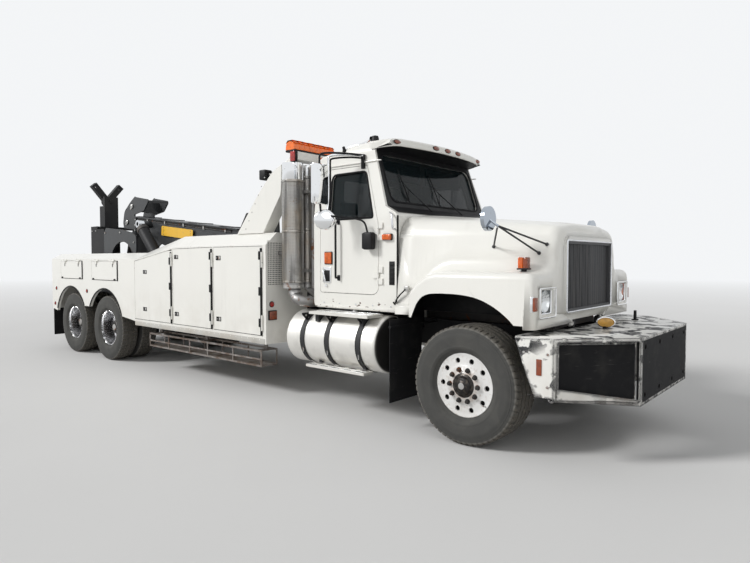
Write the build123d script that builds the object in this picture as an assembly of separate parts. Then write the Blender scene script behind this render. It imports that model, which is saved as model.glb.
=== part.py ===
from build123d import *
import os
from math import atan2, cos, degrees, hypot, pi, radians, sin, sqrt, tan

os.makedirs("parts", exist_ok=True)

# A three-axle tow truck with a tool-box body, a recovery boom and a folding underlift.
# Millimetres. While it is drawn, X points forward from the front axle, Y left, Z up from the ground.
# write() moves every piece so that X is 0 at the middle of the truck's length.

# Clearances
RUN = 0.5                   # at pins, shafts and sliding tubes
SEAT = 0.3                  # between two pieces that seat on each other
CLEAR = 5                   # between pieces that move past each other

# Wheels and axles
WHEELBASE = 7405            # front axle to the middle of the tandem
TANDEM_SPREAD = 1296
FRONT_TYRE_R, FRONT_TYRE_W, FRONT_FACE_Y = 535, 385, 1225
REAR_TYRE_R, REAR_TYRE_W, REAR_FACE_Y = 525, 280, 1235
DUAL_PITCH = 325
RIM_R, RIM_EDGE_R = 286, 300
SPINDLE_R = 40
KINGPIN_Y, KINGPIN_R = 880, 24
AXLE_1 = -WHEELBASE + TANDEM_SPREAD / 2
AXLE_2 = -WHEELBASE - TANDEM_SPREAD / 2
TANDEM_MID = -WHEELBASE

# Frame
FRAME_TOP, RAIL_H, RAIL_Y, RAIL_FLANGE, RAIL_T = 1010, 270, 430, 85, 10
FRAME_FRONT = 640

# Bumper
BUMPER_REAR, BUMPER_SIDE, BUMPER_SLANT = FRAME_FRONT - 125, 325, 505
BUMPER_CORNER_X = BUMPER_REAR + BUMPER_SIDE
BUMPER_FRONT = BUMPER_CORNER_X + BUMPER_SLANT
BUMPER_HALF, BUMPER_CORNER_Y = 1240, 720
BUMPER_TOP, BUMPER_LOW = FRAME_TOP + 15, 480
BUMPER_PLATE, PAD_DEPTH, PAD_T, PAD_RIM = 16, 85, 40, 25

# Cab
CAB_FRONT, CAB_LENGTH, CAB_HALF, CAB_WALL = -905, 1195, 1000, 45
CAB_REAR = CAB_FRONT - CAB_LENGTH
CAB_SILL, CAB_FLOOR = 1110, 1190
CAB_BELT, CAB_EAVE, EAVE_IN = 2080, 2700, 65
CAB_ROOF_FRONT, CAB_ROOF_REAR = 2912, 2780
SCREEN_LOW, SCREEN_HIGH = (CAB_FRONT - 155, 2190), (CAB_FRONT - 357, 2805)
DOOR_FRONT, DOOR_REAR, DOOR_LOW, DOOR_TOP = CAB_FRONT - 235, CAB_REAR + 100, 1275, 2640
WINDOW_LOW, WINDOW_TOP = 2078, 2572
DOOR_GAP = 6
GLASS_T, GLASS_INSET = 6, 18
BARREL_R, BARREL_LENGTH, BARREL_OUT = 11, 60, 12

# Hood
HOOD_REAR, HOOD_NOSE, HOOD_LOW, HOOD_SKIN = CAB_FRONT + 13, 655, 1100, 25
HOOD_REAR_TOP, HOOD_NOSE_TOP = 2115, 1975
HOOD_REAR_HALF, HOOD_NOSE_HALF, NOSE_R = 1000, 745, 80
FENDER_HALF, FENDER_TOP, FENDER_START, FENDER_FULL = 1200, 1530, -740, -300
HOOD_HINGE = (620, 1060)
ARCH_MID_X, ARCH_MID_Z, ARCH_R_FRONT, ARCH_FLAT = -40, 800, 535, 1335
GRILLE_HALF, GRILLE_LOW, GRILLE_TOP, GRILLE_CREASE = 560, 1180, 1810, 25
LAMP_LOW, LAMP_TOP, LAMP_IN, LAMP_OUT, LAMP_R = 1185, 1400, 850, 1075, 20

# Tool-box body
BODY_FRONT, REAR_OVERHANG = CAB_REAR - 530, 817
BODY_REAR = AXLE_2 - REAR_OVERHANG
BODY_HALF, BODY_INNER, BODY_SILL, BODY_WALL = 1270, 620, 650, 45
CREST_IN = 170
FOLD_FRONT, CREST_FRONT = 1812, 1962
FOLD_REAR, CREST_REAR = 1650, 1742
SLOPE_FRONT, SLOPE_REAR = BODY_FRONT - 1970, BODY_FRONT - 3020
WHEEL_ROOM = 105
DECK_TOP, DECK_T = 1180, 12
FRAME_REAR = BODY_REAR + 30

# Recovery boom
BOOM_PIVOT = (BODY_FRONT - 1920, 1820)
BOOM_ANGLE = 6.1
BOOM_HALF, BOOM_WALL, BELLY_T = 200, 14, 25
BOOM_LENGTH = (BOOM_PIVOT[0] - AXLE_2 - 222) / cos(radians(BOOM_ANGLE))
BOOM_BELLY = BOOM_LENGTH - 460
BOOM_TOP, BOOM_LOW, BOOM_DEEP = 265, -35, -190
BOOM_PIN_R, FLANGE_OUT, FLANGE_T = 50, 45, 16
INNER_GAP = 8
LIFT_R, LIFT_ROD_R, LIFT_BOSS = 98, 50, 70
LIFT_Y = 420
LIFT_BASE = (BOOM_PIVOT[0] - 1650, DECK_TOP + 130)
LIFT_EYE = (BOOM_PIVOT[0] - 2640, 2270)
PEDESTAL_Y, PEDESTAL_T = BOOM_HALF + FLANGE_OUT + 8, 30

# Tower and underlift
TOWER_Y, TOWER_T, TOWER_TOP = 440, 30, 2245
COLUMN_REAR, COLUMN_LOW, COLUMN_TOP = BODY_REAR - 250, 590, 2290
ARM_HINGE = (COLUMN_REAR - 160, 720)
ARM_HALF_X, ARM_HALF_Y, ARM_TOP, ARM_WALL = 130, 160, 2300, 14
HEAD_Z = 2830
LIMB_TILT, LIMB_LENGTH, LIMB_SIZE = 40, 435, 120
LIMB_BORE_AT, LIMB_BORE_R = 365, 30
UNDERLIFT_REAR = ARM_HINGE[0] - 150
FOLD_BASE, FOLD_EYE = (BODY_REAR + 120, 2150), (ARM_HINGE[0] + 200, 1170)
FOLD_Y, FOLD_R, FOLD_ROD_R, FOLD_BOSS = 225, 55, 32, 48

X_MID = (BUMPER_FRONT + UNDERLIFT_REAR) / 2


# Drawing helpers

def block(x0, x1, y0, y1, z0, z1):
    size = (abs(x1 - x0), abs(y1 - y0), abs(z1 - z0))
    return Pos((x0 + x1) / 2, (y0 + y1) / 2, (z0 + z1) / 2) * Box(*size)


def moved_in(points, inset):
    """The same outline moved inwards; rounded corners keep their centres."""
    count = len(points)
    area = sum(points[i - 1][0] * points[i][1] - points[i][0] * points[i - 1][1] for i in range(count))
    turn = 1 if area > 0 else -1
    moved = []
    for i, (a, b, *rest) in enumerate(points):
        after = points[(i + 1) % count]
        way_in = Vector(a - points[i - 1][0], b - points[i - 1][1]).normalized()
        way_out = Vector(after[0] - a, after[1] - b).normalized()
        normal_in, normal_out = Vector(-way_in.Y, way_in.X) * turn, Vector(-way_out.Y, way_out.X) * turn
        shift = (normal_in + normal_out) * (inset / (1 + normal_in.dot(normal_out)))
        hollow = (way_in.X * way_out.Y - way_in.Y * way_out.X) * turn < 0
        radius = [max(r + inset if hollow else r - inset, 0) for r in rest]
        moved.append((a + shift.X, b + shift.Y, *radius))
    return moved


def outline(points, inset=0):
    """A face through (a, b) or (a, b, r) points, r rounding that corner, moved inwards by inset."""
    points = moved_in(points, inset) if inset else points
    corners = [(Vector(p[0], p[1]), p[2] if len(p) > 2 else 0) for p in points]
    ends = []
    for i, (here, radius) in enumerate(corners):
        if not radius:
            ends.append((here, None, here))
            continue
        back = (corners[i - 1][0] - here).normalized()
        ahead = (corners[(i + 1) % len(corners)][0] - here).normalized()
        half = radians(back.get_angle(ahead)) / 2
        reach = radius / tan(half)
        middle = here + (back + ahead).normalized() * (radius / sin(half) - radius)
        ends.append((here + back * reach, middle, here + ahead * reach))
    edges = []
    for i, (start, middle, end) in enumerate(ends):
        if middle is not None:
            edges.append(ThreePointArc(start, middle, end))
        after = ends[(i + 1) % len(ends)][0]
        if (after - end).length > 1e-6:
            edges.append(Line(end, after))
    return make_face(edges)


def side_prism(points, y0, y1, inset=0):
    """An outline of (x, z) points, pulled from y0 to y1."""
    plane = Plane(origin=(0, y0, 0), x_dir=(1, 0, 0), z_dir=(0, -1, 0))
    return extrude(plane * outline(points, inset), amount=abs(y1 - y0), dir=(0, 1 if y1 > y0 else -1, 0))


def plan_prism(points, z0, z1):
    """An outline of (x, y) points, pulled from z0 up to z1."""
    return extrude(Pos(0, 0, z0) * outline(points), amount=z1 - z0, dir=(0, 0, 1))


def cross_face(points, x, inset=0):
    """An outline of (y, z) points, standing across the truck at x."""
    return Plane(origin=(x, 0, 0), x_dir=(0, 1, 0), z_dir=(1, 0, 0)) * outline(points, inset)


def cross_prism(points, x0, x1, inset=0):
    return extrude(cross_face(points, x0, inset), amount=abs(x1 - x0), dir=(1 if x1 > x0 else -1, 0, 0))


def rod(start, end, radius):
    """A round bar between two points."""
    way = Vector(*end) - Vector(*start)
    plane = Plane(origin=start, z_dir=way)
    return extrude(plane * Circle(radius), amount=way.length)


def bent_rod(points, radius):
    """A round bar along a smooth curve through the points."""
    path = Spline(*points)
    plane = Plane(origin=path @ 0, z_dir=path % 0)
    return sweep(plane * Circle(radius), path=path)


def spin_y(points, x, z):
    """A turned solid: (radius, y) points turned about the line through (x, z) along Y."""
    return Pos(x, 0, z) * revolve(make_face(Polyline(*points, close=True)), axis=Axis.Y)


def mirrored(shape):
    return mirror(shape, about=Plane.XZ)


def both_sides(shape):
    return [shape, mirrored(shape)]


def two(shape):
    """A shape and its mirror image, as one to add or cut."""
    return shape + mirrored(shape)


def write(name, *shapes):
    solids = []
    for shape in shapes:
        parts = shape if isinstance(shape, (list, tuple)) else [shape]
        for part in parts:
            solids.extend((Pos(-X_MID, 0, 0) * part).solids())
    export_step(Compound(solids), f"parts/{name}.step")


# Wheels

def tyre(radius, width, middle_y, x):
    """A tyre with a flat tread, round shoulders and a bulged side wall."""
    side = [(radius, 0.40 * width), (radius - 22, 0.455 * width), (radius - 95, 0.5 * width),
            (RIM_EDGE_R + 60, 0.49 * width), (RIM_EDGE_R, 0.40 * width), (RIM_R, 0.385 * width)]
    points = [(r, middle_y - s) for r, s in side] + [(r, middle_y + s) for r, s in reversed(side)]
    return spin_y(points, x, radius)


def front_rim(x):
    """A disc wheel, its hub and its ten hand holes, for the left side."""
    face = FRONT_FACE_Y
    inner = face - 0.885 * FRONT_TYRE_W
    bead = RIM_R - RUN
    disc = [(SPINDLE_R + RUN, face - 200), (SPINDLE_R + RUN, face - 60), (0, face - 60), (0, face + 8),
            (62, face + 8), (78, face - 4), (84, face - 20), (100, face - 26), (118, face - 34),
            (165, face - 34), (184, face - 46), (262, face - 52), (RIM_R - 6, face - 44),
            (bead, face - 44), (bead, inner), (RIM_R - 14, inner), (RIM_R - 14, face - 62),
            (150, face - 66), (110, face - 70), (105, face - 200)]
    holes = [Pos(x, 0, FRONT_TYRE_R) * Rot(0, 36 * k, 0) * Pos(225, face - 50, 0)
             * Rot(90, 0, 0) * Cylinder(20, 80) for k in range(10)]
    return spin_y(disc, x, FRONT_TYRE_R) - holes


def dual_middle():
    """Y of the mounting face between the twin rims."""
    return REAR_FACE_Y - (REAR_TYRE_W + DUAL_PITCH) / 2


def rear_rim(x):
    """Twin rims bolted to one hub, for the left side: the outer disc lies deep."""
    mid = dual_middle()
    half = 0.385 * REAR_TYRE_W
    outer_lip = REAR_FACE_Y - REAR_TYRE_W / 2 + half
    inner_lip = REAR_FACE_Y - REAR_TYRE_W / 2 - DUAL_PITCH - half
    bead, well = RIM_R - RUN, RIM_R - 16
    gap = (DUAL_PITCH - 2 * half) / 2
    rim = [(bead, outer_lip), (well, outer_lip), (well - 4, mid + gap), (160, mid + 12), (115, mid + 12),
           (110, mid + 150), (88, mid + 178), (0, mid + 184), (0, mid + 60), (58 + RUN, mid + 60),
           (58 + RUN, mid - 120), (120, mid - 120), (160, mid - 12), (well - 4, mid - gap), (well, inner_lip),
           (bead, inner_lip), (bead, mid - gap + 20), (well + 2, mid), (bead, mid + gap - 20)]
    return spin_y(rim, x, REAR_TYRE_R)


def wheels():
    front_mid = FRONT_FACE_Y - FRONT_TYRE_W / 2
    outer_mid = REAR_FACE_Y - REAR_TYRE_W / 2
    left_tyre, left_rim = tyre(FRONT_TYRE_R, FRONT_TYRE_W, front_mid, 0), front_rim(0)
    write("front_wheel_left", left_tyre, left_rim)
    write("front_wheel_right", mirrored(left_tyre), mirrored(left_rim))
    for name, x in (("forward", AXLE_1), ("rearward", AXLE_2)):
        rubber = [tyre(REAR_TYRE_R, REAR_TYRE_W, outer_mid, x),
                  tyre(REAR_TYRE_R, REAR_TYRE_W, outer_mid - DUAL_PITCH, x)]
        rims = rear_rim(x)
        write(f"twin_wheels_{name}_left", *rubber, rims)
        write(f"twin_wheels_{name}_right", *[mirrored(r) for r in rubber], mirrored(rims))


# Axles, knuckles and springs

def knuckle():
    """Left steering knuckle: kingpin boss, two ears round the beam's end, spindle and steering arm."""
    z, y = FRONT_TYRE_R, KINGPIN_Y
    solid = Pos(0, y, z) * Cylinder(KINGPIN_R, 170)
    for s in (-1, 1):
        solid += Pos(0, y, z + s * 68) * Cylinder(KINGPIN_R + 22, 34)
        solid += block(-46, 46, y, y + 60, z + s * 68 - 17, z + s * 68 + 17)
    solid += block(-46, 46, y + 52, y + 80, z - 85, z + 85)
    solid += rod((0, y + 60, z), (0, FRONT_FACE_Y - 62, z), SPINDLE_R)
    return solid + block(-190, -30, y + 10, y + 40, z - 75, z - 55)


def front_axle():
    """Dropped beam on two leaf packs, with the kingpin bores at its ends."""
    z = FRONT_TYRE_R
    beam = cross_prism([(-KINGPIN_Y, z - 48), (-700, z - 48), (-560, z - 105), (560, z - 105), (700, z - 48),
                        (KINGPIN_Y, z - 48), (KINGPIN_Y, z + 48), (680, z + 48), (540, z + 5), (-540, z + 5),
                        (-680, z + 48), (-KINGPIN_Y, z + 48)], -45, 45)
    for s in (-1, 1):
        beam += Pos(0, s * KINGPIN_Y, z) * Cylinder(KINGPIN_R + 20, 96)
        beam -= Pos(0, s * KINGPIN_Y, z) * Cylinder(KINGPIN_R + RUN, 200)
    rail_low = FRAME_TOP - RAIL_H
    leaf_in, leaf_out = RAIL_Y - 80, RAIL_Y
    leaf = side_prism([(-650, rail_low - 60), (-300, z + 65), (0, z + 20), (300, z + 65),
                       (560, rail_low - 60), (560, rail_low - 30), (300, z + 105), (0, z + 80),
                       (-300, z + 105), (-650, rail_low - 30)], leaf_in, leaf_out)
    for x in (-650, 560):
        leaf += block(x - 30, x + 30, leaf_in, leaf_out, rail_low - 60, rail_low)
    leaf += block(-70, 70, leaf_in, leaf_out, z + 5, z + 22)
    write("front_axle", beam + two(leaf))
    left = knuckle()
    write("knuckle_left", left)
    write("knuckle_right", mirrored(left))


def drive_axles():
    """Two driven axles with their differential housings, and the shaft between them."""
    z, mid = REAR_TYRE_R, dual_middle()
    pieces = []
    for x in (AXLE_1, AXLE_2):
        axle = rod((x, -mid + 125, z), (x, mid - 125, z), 70)
        axle += Pos(x, 0, z) * Rot(90, 0, 0) * Cylinder(215, 190)
        axle += rod((x + 100, 0, z + 40), (x + 330, 0, z + 70), 85)
        for s in (-1, 1):
            axle += rod((x, s * (mid - 130), z), (x, s * (mid + 50), z), 58)
        pieces.append(axle)
    return pieces[0] + rod((AXLE_2 + 329, 0, z + 70), (AXLE_1 - 214, 0, z + 55), 50) + pieces[1]


def rear_suspension():
    """Walking-beam suspension: hangers from the rails, leaf packs and beams out to both axles."""
    z, mid_x = REAR_TYRE_R, TANDEM_MID
    rail_low = FRAME_TOP - RAIL_H
    y0, y1 = RAIL_Y - 60, RAIL_Y + 20
    side = side_prism([(AXLE_2 - 90, z - 160), (mid_x, z - 190), (AXLE_1 + 90, z - 160),
                       (AXLE_1 + 90, z - 71), (AXLE_1 - 90, z - 71), (mid_x + 80, z - 90),
                       (mid_x - 80, z - 90), (AXLE_2 + 90, z - 71), (AXLE_2 - 90, z - 71)], y0, y1)
    side += side_prism([(AXLE_2 + 120, rail_low - 70), (mid_x, z + 20), (AXLE_1 - 120, rail_low - 70),
                        (AXLE_1 - 120, rail_low - 35), (mid_x, rail_low - 55), (AXLE_2 + 120, rail_low - 35)],
                       y0, y1)
    side += block(mid_x - 90, mid_x + 90, y0, y1, z - 100, z + 60)
    for x in (AXLE_2 + 120, AXLE_1 - 120):
        side += block(x - 30, x + 30, y0, y1, rail_low - 80, rail_low)
    tie = rod((mid_x, -y0 - 10, z - 140), (mid_x, y0 + 10, z - 140), 45)
    write("rear_axles", drive_axles(), two(side) + tie)


# Frame and drive line

def frame():
    """Two channel rails joined by cross members, with a subframe for the body on top."""
    low = FRAME_TOP - RAIL_H
    rail = block(FRAME_REAR, FRAME_FRONT, RAIL_Y - RAIL_FLANGE, RAIL_Y, low, FRAME_TOP)
    rail -= block(FRAME_REAR - 1, FRAME_FRONT + 1, RAIL_Y - RAIL_FLANGE - 1, RAIL_Y - RAIL_T,
                  low + RAIL_T, FRAME_TOP - RAIL_T)
    ladder = two(rail)
    for x in (FRAME_FRONT - 100, CAB_REAR + 200, BODY_FRONT - 470, BODY_FRONT - 1770, AXLE_1 + 1057,
              TANDEM_MID, FRAME_REAR + 240):
        ladder += block(x - 40, x + 40, -RAIL_Y + RAIL_T, RAIL_Y - RAIL_T, FRAME_TOP - 110, FRAME_TOP - 20)
    sub_rear, sub_front, sub_top = BODY_REAR + 60, BODY_FRONT - 20, DECK_TOP - DECK_T
    sub = block(sub_rear, sub_front, RAIL_Y - 70, RAIL_Y, FRAME_TOP, sub_top)
    sub -= block(sub_rear - 1, sub_front + 1, RAIL_Y - 60, RAIL_Y - 10, FRAME_TOP + 10, sub_top - 10)
    hx, hz = HOOD_HINGE
    bracket = rod((hx, 305, hz), (hx, 345, hz), 26) + block(hx - 26, hx + 20, 305, 345, FRAME_TOP - 30, hz)
    bracket += block(hx - 26, hx + 20, 305, RAIL_Y - 70, FRAME_TOP - 30, FRAME_TOP)
    write("frame_rails", ladder + two(bracket), both_sides(sub))


def engine():
    """Engine and gearbox as one plain block on its mount, the shaft behind it, and the radiator."""
    inside = RAIL_Y - RAIL_T
    power = block(-700, 250, -310, 310, 860, 1640) + block(-1620, -700, -230, 230, 700, 1070)
    power += block(-420, -340, -inside, inside, 860, 920)
    power += rod((AXLE_1 + 335, 0, REAR_TYRE_R + 70), (-1600, 0, 810), 55)
    radiator = block(430, 510, -470, 470, FRAME_TOP, 1790)
    radiator += block(415, 525, -480, 480, 1720, 1800) + block(415, 525, -480, 480, FRAME_TOP, 1080)
    write("engine", power, radiator)


# Bumper

def bumper_outline(depth, rear=BUMPER_REAR):
    """Plan outline of the bumper, moved inwards by depth on its outer sides."""
    slant = atan2(BUMPER_HALF - BUMPER_CORNER_Y, BUMPER_FRONT - BUMPER_CORNER_X)
    shift_y = depth / cos(slant)
    half, front = BUMPER_HALF - depth, BUMPER_FRONT - depth
    corner_x = BUMPER_CORNER_X + (depth - shift_y) / tan(slant)
    corner_y = BUMPER_CORNER_Y - shift_y + depth * tan(slant)
    left = [(rear, half), (corner_x, half), (front, corner_y)]
    return left + [(x, -y) for x, y in reversed(left)]


def front_bumper():
    """Folded steel box with windows in its slanted corners, carried by two stays on the frame."""
    shell = plan_prism(bumper_outline(0), BUMPER_LOW, BUMPER_TOP)
    shell -= plan_prism(bumper_outline(BUMPER_PLATE, BUMPER_REAR - 1), BUMPER_LOW - 1, BUMPER_TOP
                        - BUMPER_PLATE)
    shell -= side_prism([(BUMPER_REAR - 1, BUMPER_LOW - 1), (BUMPER_CORNER_X - 1, BUMPER_LOW - 1),
                         (BUMPER_CORNER_X - 1, BUMPER_LOW + 70), (BUMPER_REAR + 115, BUMPER_LOW + 70),
                         (BUMPER_REAR, BUMPER_TOP - 20), (BUMPER_REAR - 1, BUMPER_TOP - 20)],
                        -BUMPER_HALF - 1, BUMPER_HALF + 1)
    slant_length = hypot(BUMPER_FRONT - BUMPER_CORNER_X, BUMPER_HALF - BUMPER_CORNER_Y)
    turn = degrees(atan2(BUMPER_CORNER_Y - BUMPER_HALF, BUMPER_FRONT - BUMPER_CORNER_X))
    place = Pos((BUMPER_FRONT + BUMPER_CORNER_X) / 2, (BUMPER_HALF + BUMPER_CORNER_Y) / 2,
                (BUMPER_TOP + BUMPER_LOW) / 2) * Rot(0, 0, turn)
    open_w, open_h = slant_length - 70, BUMPER_TOP - BUMPER_LOW - 110
    lip = 12
    tunnel = Box(open_w + 2 * lip, PAD_DEPTH, open_h + 2 * lip) - Box(open_w, PAD_DEPTH + 2, open_h)
    shell = shell - two(place * Box(open_w, 40, open_h)) + two(place * Pos(0, -PAD_DEPTH / 2, 0) * tunnel)
    pad = place * Pos(0, -PAD_DEPTH + PAD_T / 2 + 5, 0) * Box(open_w - 2 * SEAT, PAD_T, open_h - 2 * SEAT)
    rim_y, rim_low, rim_top = BUMPER_CORNER_Y - PAD_RIM, BUMPER_LOW + PAD_RIM, BUMPER_TOP - PAD_RIM
    shell -= block(BUMPER_FRONT - 30, BUMPER_FRONT + 1, -rim_y, rim_y, rim_low, rim_top)
    front_pad = block(BUMPER_FRONT - PAD_T - 5, BUMPER_FRONT, -rim_y + SEAT, rim_y - SEAT, rim_low + SEAT,
                      rim_top - SEAT)
    shell -= block(BUMPER_REAR - 1, FRAME_FRONT + 30, -560, 560, BUMPER_TOP - 40, BUMPER_TOP + 1)
    stay = block(FRAME_FRONT, BUMPER_FRONT - PAD_T - 5 - SEAT, RAIL_Y - 25, RAIL_Y, 620, BUMPER_TOP
                 - BUMPER_PLATE)
    write("front_bumper", shell + two(stay))
    write("bumper_pads", pad, mirrored(pad), front_pad)


# Cab

def cab_form(inset):
    """The cab's outer form moved inwards by inset: its side profile and its cross section, crossed."""
    profile = [(CAB_REAR, CAB_SILL, 60), (CAB_FRONT, CAB_SILL), (CAB_FRONT, 2105, 50), SCREEN_LOW,
               SCREEN_HIGH, (CAB_FRONT - 175, 2838), (CAB_FRONT - 175, 2890, 30),
               (CAB_FRONT - 425, CAB_ROOF_FRONT, 300), (CAB_REAR, CAB_ROOF_REAR, 110)]
    eave = CAB_HALF - EAVE_IN
    half = [(CAB_HALF, CAB_SILL), (CAB_HALF, CAB_BELT, 400), (eave, CAB_EAVE), (eave - 12, 2900, 150),
            (300, 2935)]
    section = half + [(-y, z, *rest) for y, z, *rest in reversed(half)]
    if inset == CAB_WALL:
        profile[5:8] = [(CAB_FRONT - 425, CAB_ROOF_FRONT)]      # the visor is solid
    return side_prism(profile, -1400, 1400, inset) & cross_prism(section, CAB_REAR - 300, CAB_FRONT + 300,
                                                                 inset)


DOOR_EDGE = [(DOOR_REAR, DOOR_LOW, 30), (DOOR_FRONT, DOOR_LOW, 90), (DOOR_FRONT, 2010, 120),
             (DOOR_FRONT - 185, 2590), (DOOR_FRONT - 210, DOOR_TOP, 30), (DOOR_REAR, DOOR_TOP, 60)]
WINDOW_EDGE = [(DOOR_REAR + 150, WINDOW_LOW, 50), (DOOR_FRONT - 78, WINDOW_LOW, 30), (DOOR_FRONT - 90, 2125),
               (DOOR_FRONT - 214, WINDOW_TOP, 50), (DOOR_REAR + 150, WINDOW_TOP, 70)]


def screen_plane():
    """A plane on the windshield, its x across the cab and its y up the glass."""
    (x0, z0), (x1, z1) = SCREEN_LOW, SCREEN_HIGH
    run = hypot(x1 - x0, z1 - z0)
    up = Vector((x1 - x0) / run, 0, (z1 - z0) / run)
    return Plane(origin=((x0 + x1) / 2, 0, (z0 + z1) / 2), x_dir=(0, 1, 0),
                 z_dir=Vector(0, 1, 0).cross(up)), run


def hinge_barrels(place_barrel, levels):
    """For each level, the barrel that turns with the door and the two that stay on the body."""
    moving = [place_barrel(level) for level in levels]
    step = BARREL_LENGTH + RUN
    fixed = [place_barrel(level + s * step) for level in levels for s in (-1, 1)]
    return moving, fixed


def upright_barrel(x, y):
    return lambda z: Pos(x, y, z) * Cylinder(BARREL_R, BARREL_LENGTH)


def cab():
    """Cab shell with its windows and door openings, both doors and all glass."""
    shell = cab_form(0) - (cab_form(CAB_WALL) & block(-4000, 0, -1400, 1400, CAB_FLOOR, 3200))
    screen, run = screen_plane()
    screen_w, screen_h, screen_r = 1740, run - 110, 110
    shell -= extrude(screen * RectangleRounded(screen_w, screen_h, screen_r), amount=200, both=True)
    glass = extrude(screen * Pos(0, 0, -GLASS_INSET)
                    * RectangleRounded(screen_w - 2 * SEAT, screen_h - 2 * SEAT, screen_r), amount=-GLASS_T)
    rear_place = Pos(CAB_REAR, 0, 2370) * Rot(0, 90, 0)
    rear_w, rear_h, rear_r = 1100, 420, 60
    shell -= rear_place * extrude(RectangleRounded(rear_h, rear_w, rear_r), amount=100, both=True)
    rear_glass = rear_place * Pos(0, 0, 15) * extrude(
        RectangleRounded(rear_h - 2 * SEAT, rear_w - 2 * SEAT, rear_r), amount=GLASS_T)
    side = -1400, -CAB_HALF + 200
    skin = shell & side_prism(DOOR_EDGE, *side, DOOR_GAP)
    shell -= two(side_prism(DOOR_EDGE, *side))
    door = skin - side_prism(WINDOW_EDGE, *side)
    pane = (cab_form(GLASS_INSET) - cab_form(GLASS_INSET + GLASS_T)) & side_prism(WINDOW_EDGE, *side, SEAT)
    hinge_y = -CAB_HALF - BARREL_OUT
    moving, fixed = hinge_barrels(upright_barrel(DOOR_FRONT, hinge_y), (1480, 1930))
    for barrel in moving:
        z = barrel.center().Z
        door += barrel + block(DOOR_FRONT - 70, DOOR_FRONT, hinge_y - 4, -CAB_HALF + 10, z - 30, z + 30)
    for barrel in fixed:
        z = barrel.center().Z
        shell += two(barrel + block(DOOR_FRONT, DOOR_FRONT + 60, hinge_y - 4, -CAB_HALF + 8, z - 30, z + 30))
    for x in (CAB_FRONT - 145, CAB_REAR + 120):
        shell += two(block(x - 50, x + 50, RAIL_Y - 80, RAIL_Y, FRAME_TOP, CAB_SILL))
    write("cab_shell", shell)
    write("cab_glass", glass, rear_glass)
    write("door_right", door)
    write("door_left", mirrored(door))
    write("door_glass_right", pane)
    write("door_glass_left", mirrored(pane))


def door_mirrors():
    """Tall flat mirror and round wide mirror on one tube loop, fixed to the door by two feet."""
    x, y, tube = CAB_REAR + 375, -CAB_HALF - 360, 11
    foot_z = 2590
    skin_low = -CAB_HALF - SEAT
    skin_high = -CAB_HALF + (foot_z - CAB_BELT) * EAVE_IN / (CAB_EAVE - CAB_BELT) - SEAT
    loop = block(DOOR_FRONT - 335, DOOR_FRONT - 285, skin_high - 22, skin_high, foot_z, foot_z + 35)
    loop += block(DOOR_FRONT - 150, DOOR_FRONT - 80, skin_low - 22, skin_low, 1990, 2040)
    loop += rod((x, y, 2040), (x, y, 2700), tube)
    loop += rod((x, y, 2675), (DOOR_FRONT - 310, skin_high - 12, foot_z + 17), tube - 2)
    loop += rod((x, y, 2190), (DOOR_FRONT - 115, skin_low - 12, 2015), tube - 2)
    head = block(x - 45, x - 8, y - 75, y + 75, 2215, 2640)
    head = fillet(head.edges().filter_by(Axis.X), 25)
    mirror_right = loop + head + rod((x - 40, y, 2040), (x + 12, y, 2040), 75)
    write("mirror_right", mirror_right)
    write("mirror_left", mirrored(mirror_right))


def cab_inside():
    """Dashboard with the steering column and wheel, and two seats."""
    front = CAB_FRONT - CAB_WALL - SEAT
    half = CAB_HALF - CAB_WALL - 5
    dash = side_prism([(front, 1500), (front - 380, 1720, 30), (front - 380, 1900, 40),
                       (front - 250, 2010, 60), (front, 2030)], -half, half)
    wheel_x, seat_y = front - 530, 520
    column = rod((wheel_x + 230, seat_y, 1700), (wheel_x, seat_y, 1990), 35)
    wheel = Plane(origin=(wheel_x, seat_y, 1990), z_dir=(-0.62, 0, 0.78)) * (
        Torus(225, 16) + Cylinder(45, 40) + Box(430, 34, 14) + Box(34, 430, 14))
    write("dashboard", dash + column + wheel)
    seats = []
    back = CAB_REAR + 60
    for y in (-seat_y, seat_y):
        base = block(back + 140, back + 610, y - 230, y + 230, CAB_FLOOR, 1560)
        seats.append(fillet(base.edges().filter_by(Axis.Z), 50))
        seats.append(side_prism([(back, 1560 + SEAT, 20), (back + 190, 1560 + SEAT, 30),
                                 (back + 110, 2330, 40), (back - 5, 2330, 20)], y - 220, y + 220))
    write("seats", *seats)


# Hood

def arch_points(centre_x, centre_z, radius, flat_top, steps=12):
    """Half-round wheel arch cut flat at its top, as (x, z) points from rear to front."""
    points = []
    for k in range(steps + 1):
        angle = radians(180 - 180 * k / steps)
        points.append((centre_x + radius * cos(angle), min(flat_top, centre_z + radius * sin(angle))))
    return points


def share(value, start, end):
    return max(0, min(1, (value - start) / (end - start)))


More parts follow.
